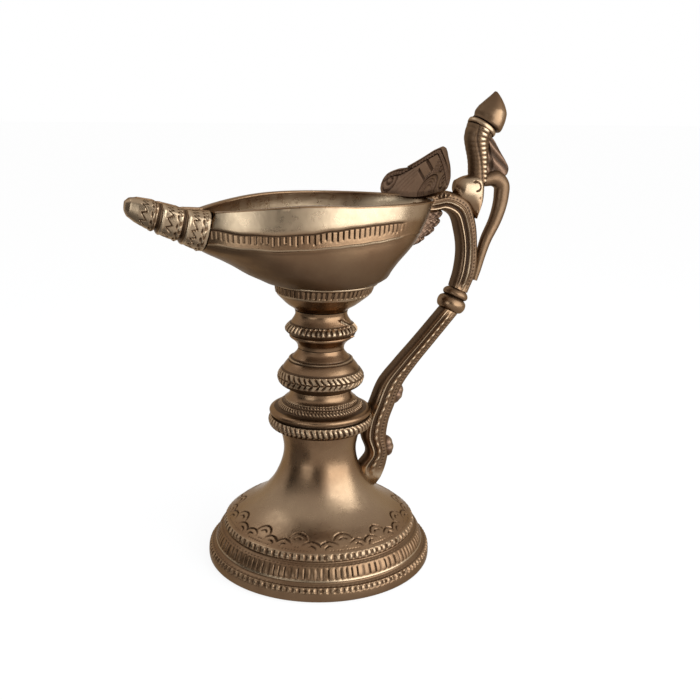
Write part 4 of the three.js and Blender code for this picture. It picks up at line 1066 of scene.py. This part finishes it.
def handle_relief(u, v, way, whole, rope=True):
    """Two ridges along each side, one of them roped, with a punched band outside them."""
    s = bpy.context.scene.lamp_handle
    if abs(v) < 0.72:
        # The inner edge face is painted darker than the outer one: painted shade
        return 0, (0.62 if u < 0 else 0.15)
    high = mm(s.ridge)
    twist = mm(s.cable)
    pad = min(max((9 - whole + way) / 4, 0), 1) if rope else 0
    fade = min(1, way / 4, (whole - way) / 3) * (1 - pad)
    thin = bump(u, -0.60, 0.13)
    cable = bump(u, -0.10, 0.22 if rope else 0.13)
    strand = 0.5 + 0.5 * math.cos(2 * math.pi * (way / twist + 0.9 * u))
    if rope:
        cable *= 0.55 + 0.45 * strand
    hollow = bump(u, -0.37, 0.19)
    outer = bump(u, 0.14, 0.09)
    punch = pulse(way / 1.4, 0.5) * bump(u, 0.42, 0.16) if 0.25 < u < 0.85 else 0.0
    out = fade * (high * (0.8 * thin + cable) - 0.55 * hollow - 0.3 * outer - 0.3 * punch)
    dirt_and_shading = 0.95 * hollow + 0.7 * outer + 0.6 * punch - 0.9 * thin
    if u > 0.2:
        dirt_and_shading += 0.45
    # The arch's inner half is painted darker: painted shade
    if u < -0.2 and not rope:
        dirt_and_shading += 0.35
    if cable > 0.25:
        dirt_and_shading = 0.5 * (1 - strand) - 0.9 * cable * strand if rope else -0.9 * cable
    return out, max(-1, min(1, dirt_and_shading)) * fade - 0.75 * pad


def arch_relief(u, v, way, whole):
    """The ridges without the rope, and the milled cuts over the arch's root on the near side."""
    out, dirt_and_shading = handle_relief(u, v, way, whole, rope=False)
    if way < 13 and u > 0.3 and v < 0:
        cut = pulse(way / 1.75, 0.45) * bump(u, 0.66, 0.34) * bump(way, 7, 6)
        out -= 0.7 * cut
        dirt_and_shading = max(dirt_and_shading, cut) if cut > 0.1 else dirt_and_shading - 0.8 * bump(u, 0.66, 0.3) * bump(way, 7, 6)
    return out, dirt_and_shading


def arch_lines():
    half = mm(bpy.context.scene.lamp_handle.thickness) / 2 - 0.5
    inner = [(ROOT_X - 2.8, RIM - 7.1), (ROOT_X + 2.0, RIM - 6.6), (ROOT_X + 5.4, RIM - 6.1),
             (ROOT_X + 9.9, RIM - 8.6), (ROOT_X + 12.4, RIM - 14.9), (ROOT_X + 13.8, RIM - 22.5),
             (ROOT_X + 13.0, RIM - 31.0), by_knot(KNOT_END, -half)]
    outer = [(ROOT_X - 2.8, RIM + 0.1), (ROOT_X + 2.4, RIM + 1.1), (ROOT_X + 7.6, RIM + 1.6),
             (ROOT_X + 16.6, RIM - 2.2), (ROOT_X + 20.5, RIM - 10.6), (ROOT_X + 22.0, RIM - 21.0),
             (ROOT_X + 22.0, RIM - 31.6), by_knot(KNOT_END, half)]
    return inner, outer


def lower_lines():
    half = mm(bpy.context.scene.lamp_handle.thickness) / 2 - 0.7
    inside, neck, pad = 21.4, 45.8, 16.95
    inner = [by_knot(-KNOT_END, -half), (inside + 19.7, KNOT_Z - 15.6), (inside + 11.4, KNOT_Z - 24.0),
             (inside + 4.6, KNOT_Z - 31.6), (inside + 0.8, KNOT_Z - 40.2), (inside - 2.2, neck + 8.6),
             (inside - 2.9, neck + 1.6), (inside - 0.6, neck - 6.0), (pad - 0.2, 34.4), (pad + 0.6, 29.0),
             (pad + 3.6, 25.4)]
    outer = [by_knot(-KNOT_END, half), (inside + 28.2, KNOT_Z - 17.4), (inside + 20.5, KNOT_Z - 25.8),
             (inside + 14.1, KNOT_Z - 34.2), (inside + 10.8, KNOT_Z - 42.6), (inside + 8.6, neck + 7.6),
             (inside + 7.7, neck + 0.4), (inside + 8.7, neck - 6.0), (inside + 7.9, 33.6),
             (inside + 5.9, 28.4), (inside + 4.1, 25.4)]
    return inner, outer


def tilted(skin, tilt, at):
    """Tilts a skin that was turned round the upright axis, and moves it to its place."""
    lean = Quaternion((0, 1, 0), tilt)
    for v in skin.verts:
        v.co = lean @ v.co + at
    return skin


def knot_skin():
    h, r = KNOT_END, mm(bpy.context.scene.lamp_handle.knot_radius)
    rows = outline(
        run([(0, -h), (r - 2.2, -h)], 2.0, curved=False),
        run([(r - 2.2, -h), (r - 0.8, -h + 0.8), (r, -h + 2.8), (r - 0.4, -h + 4.8), (r - 1.7, -h + 5.9)],
            0.35),
        run([(r - 1.7, -h + 5.9), (r - 0.9, -h + 6.5), (r - 0.7, -h + 7.6), (r - 1.3, h - 0.9),
             (r - 2.3, h - 0.1)], 0.35),
        run([(r - 2.3, h), (0, h)], 2.0, curved=False),
    )

    def cuts(band, across, angle, radius, height):
        return 0, 0.8 * bump(height, -h + 5.9, 0.8) + 0.25 - 0.3 * bump(height, -h + 2.8, 1.6)

    return tilted(turned(rows, 96, cuts), KNOT_TILT, Vector((KNOT_X, 0, KNOT_Z)))


def leaf_knob(x, z, tilt):
    """A half-buried leaf on the outside of the lower length, with ribs across it."""
    stations = 47

    def place(row, around):
        f = min(max(2 * (row - 1) / (stations - 1) - 1, -1), 1)
        swell = 0.0 if row in (0, stations + 1) else math.sqrt(max(1 - f * f, 0.0))
        angle = 2 * math.pi * around
        wave = math.cos(f * 9 + 1.0)
        rib = 1 + 0.03 * wave + 0.02 * math.cos(3 * angle)
        at = Vector((2.9 * swell * rib * math.cos(angle), 3.6 * swell * rib * math.sin(angle), 4.6 * f))
        dirt_and_shading = 0.45 * max(0, -wave) - 0.6 * max(0, math.cos(angle)) * swell
        return Quaternion((0, 1, 0), tilt) @ at + Vector((x, 0, z)), dirt_and_shading

    return blank(stations + 2, 48, place)


class LAMP_OT_handle(bpy.types.Operator):
    """Make the arch, the knot, the lower length and its two leaves"""
    bl_idname = "lamp.handle"
    bl_label = "Handle"

    def execute(self, context):
        wide = mm(context.scene.lamp_handle.width) / TABLE_WIDTH
        for name, node, (inner, outer), widths, relief in (
                ("arch", "handle_arch", arch_lines(), ARCH_WIDTHS, arch_relief),
                ("lower_length", "handle_lower", lower_lines(), LOWER_WIDTHS, handle_relief)):
            skin = bar(inner, outer, [w * wide for w in widths], 0.45, 120, relief=relief)
            finish(name, skin, "aged_brass", node)
        finish("knot", knot_skin(), "aged_brass", "handle_knot")
        finish("leaf_upper", leaf_knob(33.4, KNOT_Z - 37.8, 0.4), "dark_brass", "upper_leaf")
        finish("leaf_lower", leaf_knob(29.9, 41.6, -0.12), "dark_brass", "lower_leaf")
        return {"FINISHED"}


# Finial

HEAD_X = ROOT_X + 20.2
HEAD_Z = RIM + 2.8
TRUNK_X = HEAD_X + 1.4
TRUNK_Z = HEAD_Z + 4.4
TRUNK_HEIGHT = 18.4
COLLAR_TILT = 0.6
TRUNK_END = Vector((TRUNK_X + 0.2, 0, TRUNK_Z + TRUNK_HEIGHT))
TO_FRONT = Vector((0, -1, 0))


def head_skin():
    r = mm(bpy.context.scene.lamp_finial.head_radius)
    eye_x, eye_z = HEAD_X - 1.5, HEAD_Z + 0.6
    skin = bar(
        [(HEAD_X - 9.6, HEAD_Z - 1.6), (HEAD_X - 7.8, HEAD_Z - 5.4), (HEAD_X - 4.4, HEAD_Z - 1.3 * r),
         (HEAD_X - 1.8, HEAD_Z - 1.9 * r), (HEAD_X - 0.6, HEAD_Z - 2.25 * r)],
        [(HEAD_X - 9.0, HEAD_Z + 3.0), (HEAD_X - 4.6, HEAD_Z + 4.6), (HEAD_X + 2.4, HEAD_Z + r - 0.6),
         (HEAD_X + 3.4, HEAD_Z - 2.6), (HEAD_X - 0.2, HEAD_Z - 2.3 * r)],
        (1.6, 4.0, 5.2, 4.9, 4.5), 0.3, 120, power=0.95)
    dirt_and_shading = skin.verts.layers.float["dirt_and_shading"]
    for v in skin.verts:
        dx, dz = v.co.x - eye_x, v.co.z - eye_z
        away, angle = math.hypot(dx, dz), math.degrees(math.atan2(dz, dx))
        cut = 0.0
        if -95 < angle < 120:
            cut = 0.8 * bump(away, 1.9, 0.5)
        cut = max(cut, 0.4 * bump(math.hypot(dx - 1.9, dz + 4.8), 0, 0.7))
        if abs(v.co.y) > 2.0:
            v.co.y -= math.copysign(0.6 * cut, v.co.y)
            # Outside the eye's cuts the head is painted lighter round the eye: painted highlight
            v[dirt_and_shading] = cut if cut > 0.1 else -0.55 * bump(away, 2, 6)
    return skin


def trunk_line():
    x, z, h = TRUNK_X, TRUNK_Z, TRUNK_HEIGHT
    return [(x, z - 2.6), (x - 0.2, z + 0.25 * h), (x - 0.5, z + 0.45 * h), (x - 1.1, z + 0.66 * h),
            (x - 1.2, z + 0.83 * h), (x + 0.3, z + h + 0.5)]


def trunk_skin():
    s = bpy.context.scene.lamp_finial

    def relief(way, angle, whole):
        ring = abs(math.sin(math.pi * way / whole * s.trunk_rings)) ** 0.6
        side = (math.degrees(angle) % 360 - 304 + 42 * way / whole) / 27
        ridge = bump(side, 0, 1)
        deep = mm(s.trunk_ring_depth) * (0.25 + 0.85 * ridge)
        # Between the rings the trunk holds dirt; the ridge on the front-right is painted bright on the rings
        # as a painted highlight, and the trunk away from it is painted darker as painted shade
        dirt_and_shading = (0.2 + 0.7 * ridge) * (1 - ring) - 1.9 * ridge * max(0, ring - 0.45) + 0.45 * (1 - ridge)
        beside = bump(abs(side) - 1.1, 0, 0.35)
        dirt_and_shading += 0.35 * beside
        return deep * (ring - 1) + 0.35 * ridge - 0.25 * beside, max(-1, min(1, dirt_and_shading))

    radii = [3.9 + 1.9 * (k / 5) ** 1.6 for k in range(6)]
    return tube(trunk_line(), radii, 0.2, 90, relief)


def bud_ring():
    rows = outline(
        run([(0, -0.2), (5.1, -0.2)], 2.0, curved=False),
        run([(5.1, -0.2), (6.0, 0.1), (6.2, 1.0), (6.0, 1.9), (5.2, 2.2)], 0.25),
        run([(5.2, 2.2), (0, 2.2)], 2.0, curved=False),
    )

    def cuts(band, across, angle, radius, height):
        return 0, 0.8 * bump(height, 2.2, 0.5) + 0.8 * bump(height, -0.2, 0.5) - 0.6 * bump(height, 1.0, 0.7)

    return tilted(turned(rows, 72, cuts), COLLAR_TILT, TRUNK_END)


def bud_skin():
    s = bpy.context.scene.lamp_finial
    base = 2.5
    bx, bz = base * math.sin(COLLAR_TILT), base * math.cos(COLLAR_TILT)
    up, lean, radius = 14.7 - bz, 6.4, mm(s.bud_radius)
    stations = ((bx + 0.3, 0, 0.86, 1), (0.46 * lean, 0.01, 0.96, 1), (0.62 * lean, 0.19, 1, 0.83),
                (0.83 * lean, 0.43, 0.91, 0.58), (0.97 * lean, 0.66, 0.63, 0.5),
                (1.02 * lean, 0.86, 0.32, 0.42), (lean, 1, 0.08, 0.33))
    line = smooth([(x, bz + z * up) for x, z, _, _ in stations], 8)
    shape = smooth([(r * radius, tilt * COLLAR_TILT) for _, _, r, tilt in stations], 8)

    def place(row, around):
        k = min(max(row - 1, 0), len(line) - 1)
        angle = 2 * math.pi * around
        r, tilt = shape[k].x, shape[k].y
        if row in (0, len(line) + 1):
            r = 0
        out = r * math.cos(angle)
        petal = 0.5 + 0.5 * math.cos(4 * angle)
        at = Vector((TRUNK_X + 0.2 + line[k].x + out * math.cos(tilt), r * math.sin(angle),
                     TRUNK_Z + TRUNK_HEIGHT + line[k].y - out * math.sin(tilt)))
        # A painted highlight on the bud's front-right, halfway up
        painted_highlight = bump((math.degrees(angle) - 285) / 50, 0, 1) * bump(k / len(line), 0.45, 0.45)
        return at, 0.5 + 0.06 * petal - 0.7 * painted_highlight + (0.5 if k < 2 else 0)

    return blank(len(line) + 2, 72, place)


def fin_skin():
    x, z = TRUNK_X, TRUNK_Z
    inner = upright([(x + 1.0, z - 0.6), (x + 1.0, z + 7), (x + 1.0, z + 15.4)])
    outer = upright([(x + 8.6, z - 0.6), (x + 13.4, z + 0.1), (x + 14.5, z + 2.4), (x + 12.9, z + 5.6),
                     (x + 9.4, z + 10.4), (x + 5.4, z + 15.8)])

    def edges(t):
        a, b = t * (len(inner) - 1), t * (len(outer) - 1)
        i, j = min(int(a), len(inner) - 2), min(int(b), len(outer) - 2)
        return inner[i].lerp(inner[i + 1], a - i), outer[j].lerp(outer[j + 1], b - j), TO_FRONT

    def relief(t, u):
        rib = math.cos(2 * math.pi * (2.6 * t + 1.6 * u))
        line = bump(u, 0.34, 0.07)
        dirt_and_shading = 0.42 + 0.5 * max(0, -rib) + 0.6 * line - 0.35 * max(0, rib)
        return 0.28 * rib - 0.5 * line + 0.5 * bump(u, 0.15, 0.15), dirt_and_shading

    return leaf(edges, 3.0, 60, 96, relief)


def strap_skin():
    x, z = HEAD_X, HEAD_Z
    line = [(x + 3.6, z + 2.4), (x + 9.4, z + 3.4), (x + 12.9, z + 0.7), (x + 13.2, z - 3.8),
            (x + 12.4, z - 8.8), (x + 10.6, z - 14.2), (x + 6.9, z - 21.6), (x + 4.9, z - 27.8),
            (x + 3.3, z - 34.2), (x + 2.2, z - 38.4)]
    r = mm(bpy.context.scene.lamp_finial.strap_radius)
    radii = [2.4] + [r + (1.4 - r) * (k / 9) ** 1.6 for k in range(1, 10)]

    def relief(way, angle, whole):
        # Painted shade on one side of the strap, which also darkens towards its upper end
        return 0, 0.42 + 0.3 * max(0, -math.cos(angle)) - 0.1 * way / whole

    return tube(line, radii, 0.5, 48, relief)


class LAMP_OT_finial(bpy.types.Operator):
    """Make the beast's head, the ringed trunk, the bud on its ring, the fin and the strap"""
    bl_idname = "lamp.finial"
    bl_label = "Finial"

    def execute(self, context):
        finish("head", head_skin(), "aged_brass", "beast_head")
        finish("trunk", trunk_skin(), "aged_brass", "ringed_trunk")
        finish("bud_ring", bud_ring(), "aged_brass", "bud_collar")
        finish("lotus_bud", bud_skin(), "aged_brass", "bud")
        finish("fin", fin_skin(), "dark_brass", "leaf_fin")
        finish("strap", strap_skin(), "aged_brass", "mouth_strap")
        return {"FINISHED"}


# Crest and bracket

CREST_TOP = ((0, 1.0), (0.05, 0.99), (0.27, 0.85), (0.6, 0.56), (0.65, 0.51), (0.8, 0.46), (0.95, 0.34),
             (1.0, 0.2))
CREST_NEAR = ((0.90, 0), (0.96, 0.06), (0.95, 0.15), (0.88, 0.25), (0.78, 0.35), (0.54, 0.57), (0.26, 0.80),
              (0.05, 0.99))
CREST_SIDE = ((0.88, 0), (0.97, 0.08), (1.0, 0.2), (0.95, 0.34), (0.8, 0.46), (0.65, 0.51), (0.6, 0.56),
              (0.27, 0.85), (0.05, 0.99))


def crest_top(share_of):
    """How high the crest is, as a share of its height, at a share of its half width."""
    for (a, high), (b, low) in zip(CREST_TOP, CREST_TOP[1:]):
        if share_of <= b:
            return high + (low - high) * (share_of - a) / (b - a)
    return 0.0


def crest_relief(u, v, below):
    """The crest's cut ornament at a place on the plate in millimetres, below its top edge: how far it
    stands out, and dirt."""
    cut, rise = max(bump(below, 1.5, 0.4), bump(below, 3.7, 0.4)), 0.0
    if 1.8 < below < 3.4:
        cut = max(cut, 0.8 * pulse(u / 1.25, 0.35, 0.3))
        rise = 0.3
    if below < 3.9:
        return rise - cut, cut
    for middle in (20.0, -16.0):
        du, dv = u - middle, v - 4.2
        away = math.hypot(du, dv)
        if away < 3.6:
            coil = (away - 0.3 * (math.atan2(dv, math.copysign(1, middle) * du) + math.pi)) % 1.9
            cut = max(cut, bump(coil, 0.95, 0.5))
    if 7.0 < u < 15.5 and 1.0 < v < 9.0:
        cut = max(cut, 0.2 * pulse((u + 0.8 * v) / 2.2, 0.2, 0.4))
    along, across = 0.85 * (u - 2.9) + 0.53 * (v - 9.4), abs(0.53 * (u - 2.9) - 0.85 * (v - 9.4))
    if abs(along) < 4.2:
        cut = max(cut, bump(across, 2.4, 0.8))
        rise = 0.6 if across < 1.9 else rise
    arch = math.hypot(u + 5.0, v - 1.0)
    if arch < 6.6 and not (abs(along) < 4.2 and across < 2.6):
        cut = max(cut, 0.55 * pulse(arch / 1.1, 0.3, 0.4) if arch > 1.8 else 0.0, bump(arch, 6.1, 0.55))
        rise = 0.4
    elif u < -2.6 and v > 7.4:
        dot = bump(math.hypot((u % 1.2) - 0.6, (v % 1.6) - 0.8), 0, 0.55)
        cut = max(cut, 0.5 * dot, 0.4 * pulse(v / 1.6, 0.25, 0.3))
        cut = max(cut, bump(math.hypot(u + 8.5, v - 9.6), 1.4, 0.45))
    return rise - cut, cut


def crest_skin():
    s = bpy.context.scene.lamp_crest
    w, h, thick, deep = mm(s.half_width), mm(s.height), mm(s.thickness), mm(s.relief)
    far_side, near_side = smooth(CREST_SIDE, 8), smooth(CREST_NEAR, 8)
    turn_back = Quaternion((0, 0, 1), 0.06) @ Quaternion((0, 1, 0), 0.49) @ Quaternion((1, 0, 0), -0.1)
    at = Vector((ROOT_X - 3.5, 0, RIM + 0.9))
    stations, columns = 90, 280

    def half_width(v, side):
        best = 0.0
        for p, q in zip(side, side[1:]):
            low, high = min(p.y, q.y), max(p.y, q.y)
            if low <= v <= high:
                best = max(best, p.x + (q.x - p.x) * (v - p.y) / max(q.y - p.y, 1e-6))
        return best

    def place(row, around):
        t = min(max((row - 1) / (stations - 1), 0), 1)
        v = 0.995 * t
        front = around < 0.5
        share_of = 2 * around if front else 2 - 2 * around
        raised = (v - 0.06) / 0.94 if v > 0.53 and share_of > 0.5 else v
        far = share_of > 0.5
        half = max(half_width(raised, far_side if far else near_side), 0.03) * w * (1 if far else s.near)
        u = (2 * share_of - 1) * half
        if row in (0, stations + 1):
            u, share_of = 0.0, 0.5
        edge = max(1 - abs(2 * share_of - 1) ** 10, 0.0) ** 0.5
        round_off = min(1.0, 0.5 + 6 * (1 - t), 0.5 + 8 * t)
        top = crest_top(u / w) if far else 1 - 0.76 * (abs(u) / (w * s.near)) ** 1.05
        out, dirt_and_shading = crest_relief(u, v * h, (top - v) * h) if front else (0, 0.3)
        depth = (thick / 2 + (deep * out * min(1, (half - abs(u)) / 1.5) if front else 0)) * edge * round_off
        depth = 0 if row in (0, stations + 1) else depth
        y = u - 2.0 * v
        x = (-depth if front else depth) - 5.4 * (y / w) ** 2
        low = (0.03 + 0.13 * share_of) * (1 - min(v / 0.3, 1)) ** 1.5
        dirt_and_shading = min(1, 0.05 + 0.55 * dirt_and_shading) if dirt_and_shading > 0.1 else -0.06
        return turn_back @ Vector((x, y, (v - low) * h)) + at, dirt_and_shading

    return blank(stations + 2, columns, place)


def bracket_skin():
    """The scalloped leaf under the rim: lobes down its outer edge, each with ribs."""
    top, drop, lobes = RIM - 5.6, 14.5, 4

    def lobe(t):
        return math.sqrt(abs(math.sin(math.pi * (t * lobes) % math.pi)))

    def edges(t):
        z = top - drop * t
        reach_out = 5.2 - 13.5 * t ** 2.4
        inner = Vector((ROOT_X - 12.0 + 2.0 * t, 0, z))
        outer = Vector((ROOT_X + reach_out - 0.9 + 1.8 * lobe(t), 0, z))
        return inner, outer, TO_FRONT

    def relief(t, u):
        between = 1 - lobe(t)
        rib = -math.cos(2 * math.pi * (t * lobes + 0.5 * u))
        near = min(max((u - 0.5) * 3, 0), 1)
        knob = math.cos(2 * math.pi * (6.5 * t + 0.8 * u)) * math.cos(2 * math.pi * (6 * u - 2 * t))
        out = near * (0.3 * rib - 0.6 * between + 0.4 * knob)
        return out, 0.2 + near * (0.2 * max(0, -rib) + 0.5 * between - 0.35 * max(0, rib) - 0.5 * knob)

    return leaf(edges, 4.6, 80, 96, relief)


class LAMP_OT_crest(bpy.types.Operator):
    """Make the crest plate behind the bowl and the scalloped leaf under the rim"""
    bl_idname = "lamp.crest"
    bl_label = "Crest and bracket"

    def execute(self, context):
        finish("crest", crest_skin(), "dark_brass", "crest_plate")
        finish("bracket", bracket_skin(), "dark_brass", "leaf_bracket")
        return {"FINISHED"}


class LAMP_OT_fasteners(bpy.types.Operator):
    """Give the rod, washer, nut and rivets their metals"""
    bl_idname = "lamp.fasteners"
    bl_label = "Rod, nut and rivets"

    def execute(self, context):
        for node, slot in (("tie_rod", "rod_steel"), ("tie_washer", "aged_brass"), ("tie_nut", "aged_brass"),
                           ("bracket_rivet", "aged_brass"), ("foot_rivet", "aged_brass")):
            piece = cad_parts[node]
            piece.data.materials.clear()
            piece.data.materials.append(METALS[slot]())
        return {"FINISHED"}


# Stage

FLOOR_GLOW = 0.86
CARD_TURNS = (-205, -180, -155, -130, -104)  # where the dark cards meet, in degrees round the stem
CARD_RADIUS = 0.8
CARD_HEIGHT = Vector((0, 0, 0.7))
CAMERA_ROUND = math.radians(22)  # how far the camera stands from straight before the lamp


def toward(degrees):
    """The level way from the stem at a number of degrees round it."""
    return round_stem(1.0, math.radians(degrees))


def card(name, corners, material):
    """A flat stage card through its corners."""
    bm = bmesh.new()
    bm.faces.new([bm.verts.new(c) for c in corners])
    mesh = bpy.data.meshes.new(name)
    bm.to_mesh(mesh)
    bm.free()
    mesh.materials.append(material)
    piece = bpy.data.objects.new(name, mesh)
    bpy.context.scene.collection.objects.link(piece)
    return piece


def reflected_only(piece, place):
    """Puts a card where only the metal's reflections show it."""
    piece.location = place
    piece.visible_camera = False
    piece.visible_diffuse = False
    piece.visible_shadow = False


def seen(tree):
    """1 for rays from the camera, mirrors and glass, 0 for the light on dull surfaces."""
    rays = made(tree, "ShaderNodeLightPath", {}).outputs
    total = rays["Is Camera Ray"]
    for kind in ("Is Glossy Ray", "Is Transmission Ray"):
        total = made(tree, "ShaderNodeMath", {0: total, 1: rays[kind]}, operation="MAXIMUM").outputs["Value"]
    return total


def pale_floor():
    """A floor that glows where the camera or a mirror sees it, and takes the lamps' light elsewhere."""
    material, tree = new_material("pale_floor")
    shader = tree.nodes["Principled BSDF"]
    shader.inputs["Base Color"].default_value = (0.9, 0.9, 0.9, 1)
    shader.inputs["Roughness"].default_value = 0.9
    glow = made(tree, "ShaderNodeEmission", {"Strength": 1.0})
    weight = made(tree, "ShaderNodeMath", {0: seen(tree), 1: FLOOR_GLOW}, operation="MULTIPLY")
    mix = made(tree, "ShaderNodeMixShader", {0: weight.outputs["Value"], 1: shader.outputs["BSDF"],
                                             2: glow.outputs["Emission"]})
    tree.links.new(mix.outputs["Shader"], tree.nodes["Material Output"].inputs["Surface"])
    return material


def dark_cloth(name, low, high):
    """A cloth whose glow goes from low at 0.12 m above its object's origin to high at 0.7 m, where it
    fades into the pale room."""
    material, tree = new_material(name)
    where = made(tree, "ShaderNodeTexCoord", {})
    apart = made(tree, "ShaderNodeSeparateXYZ", {"Vector": where.outputs["Object"]})
    ramp = made(tree, "ShaderNodeMapRange", {"Value": apart.outputs["Z"], "From Min": 0.12, "From Max": 0.70,
                                            "To Min": low, "To Max": high}, interpolation_type="SMOOTHSTEP")
    glow = made(tree, "ShaderNodeEmission", {"Strength": ramp.outputs["Result"]})
    tree.links.new(glow.outputs["Emission"], tree.nodes["Material Output"].inputs["Surface"])
    return material


def dark_cards():
    """The cloth round the left side and, under it, a dim sheet of painted shade for the shaded floor near the
    lamp; both seen only in the metal.
    """
    cloth = dark_cloth("dark_cloth", 0.03, 1.0)
    for k, (start, end) in enumerate(zip(CARD_TURNS, CARD_TURNS[1:])):
        p, q = toward(start) * CARD_RADIUS, toward(end) * CARD_RADIUS
        wall = card(f"dark_card_{k}", [p, q, q + CARD_HEIGHT, p + CARD_HEIGHT], cloth)
        reflected_only(wall, Vector((STEM_X, 0, 0.02)))
    # Painted shade: a dim sheet round the foot that the metal reflects in place of the shaded floor
    floor_shade = dark_cloth("reflected_floor_shade", 0.3, 0.3)
    p, q = toward(-215), toward(-140)
    lying = card("reflected_floor_shade", [p * 0.075, p * 0.8, (p + q) * 0.75, q * 0.8, q * 0.075], floor_shade)
    reflected_only(lying, Vector((STEM_X, 0, 0.0004)))


def lamp(name, power, wide, high, place, target, spread=180):
    data = bpy.data.lights.new(name, "AREA")
    data.shape = "RECTANGLE"
    data.size, data.size_y = wide, high
    data.energy = power
    data.spread = math.radians(spread)
    data.color = (0.87, 0.95, 1.0)
    light = bpy.data.objects.new(name, data)
    light.location = place
    light.visible_camera = False
    light.rotation_euler = (Vector(target) - Vector(place)).to_track_quat("-Z", "Y").to_euler()
    bpy.context.scene.collection.objects.link(light)


def three_lamps():
    s = bpy.context.scene.lamp_stage
    centre, up = Vector((STEM_X, 0, 0.1)), Vector((0, 0, 0.15))
    lamp("window", s.window, 0.62, 0.5, centre + toward(-56) * 0.46 + up, centre + up)
    lamp("low_left", s.low_left, 0.26, 0.24, centre + toward(-150) * 0.42 + Vector((0, 0, 0.03)),
         Vector((-0.055, -0.015, 0.145)), spread=50)
    lamp("fill", s.fill, 0.3, 0.3, centre + Vector((-0.35, 0.35, 0.6)), centre)


def camera_of(s):
    """The camera that was fitted to the photo."""
    data = bpy.data.cameras.new("camera")
    data.lens = s.lens
    data.sensor_width = 36.0
    data.clip_start = 0.01
    data.clip_end = 50.0
    camera = bpy.data.objects.new("camera", data)
    camera.location = (STEM_X - s.camera_distance * math.sin(CAMERA_ROUND),
                       -s.camera_distance * math.cos(CAMERA_ROUND), s.camera_height)
    side, pitch = s.camera_side, s.camera_pitch
    look = Vector((math.sin(side) * math.cos(pitch), math.cos(side) * math.cos(pitch), -math.sin(pitch)))
    camera.rotation_mode = "QUATERNION"
    camera.rotation_quaternion = look.to_track_quat("-Z", "Y") @ Quaternion((0, 0, 1), s.camera_roll)
    return camera


class LAMP_OT_stage(bpy.types.Operator):
    """Set up the pale floor, the dark cards, the sheet of painted floor shade, the soft light and the camera
    """
    bl_idname = "lamp.stage"
    bl_label = "Stage"

    def execute(self, context):
        scene = context.scene
        floor = card("floor", [(-6, -6, 0), (6, -6, 0), (6, 6, 0), (-6, 6, 0)], pale_floor())
        floor.location.z = -0.0002
        dark_cards()
        three_lamps()
        scene.world = bpy.data.worlds.new("studio")
        scene.world.use_nodes = True
        scene.world.node_tree.nodes["Background"].inputs["Color"].default_value = (1, 1, 1, 1)
        scene.camera = camera_of(scene.lamp_stage)
        scene.collection.objects.link(scene.camera)
        scene.view_settings.view_transform = "Standard"
        return {"FINISHED"}


class LAMP_PT_panel(bpy.types.Panel):
    """Buttons that build the lamp's pieces and its stage"""
    bl_idname = "LAMP_PT_panel"
    bl_label = "Oil lamp"
    bl_space_type = "VIEW_3D"
    bl_region_type = "UI"
    bl_category = "Oil lamp"

    def draw(self, context):
        for operator in OPERATORS:
            self.layout.operator(operator.bl_idname)


GROUPS = {
    "lamp_foot": LampFootSizes, "lamp_stem": LampStemSizes, "lamp_bowl": LampBowlSizes,
    "lamp_nose": LampNoseSizes, "lamp_handle": LampHandleSizes, "lamp_finial": LampFinialSizes,
    "lamp_crest": LampCrestSizes, "lamp_metals": LampMetals, "lamp_stage": LampStage,
}
OPERATORS = (LAMP_OT_foot, LAMP_OT_stem, LAMP_OT_bowl, LAMP_OT_nose, LAMP_OT_handle, LAMP_OT_finial,
             LAMP_OT_crest, LAMP_OT_fasteners, LAMP_OT_stage)


def register():
    for name, group in GROUPS.items():
        bpy.utils.register_class(group)
        setattr(bpy.types.Scene, name, PointerProperty(type=group))
    for operator in OPERATORS:
        bpy.utils.register_class(operator)
    bpy.utils.register_class(LAMP_PT_panel)


def unregister():
    bpy.utils.unregister_class(LAMP_PT_panel)
    for operator in reversed(OPERATORS):
        bpy.utils.unregister_class(operator)
    for name, group in GROUPS.items():
        delattr(bpy.types.Scene, name)
        bpy.utils.unregister_class(group)


def main():
    register()
    bpy.ops.lamp.foot()
    bpy.ops.lamp.stem()
    bpy.ops.lamp.bowl()
    bpy.ops.lamp.nose()
    bpy.ops.lamp.handle()
    bpy.ops.lamp.finial()
    bpy.ops.lamp.crest()
    bpy.ops.lamp.fasteners()
    bpy.ops.lamp.stage()


if __name__ == "__main__":
    main()
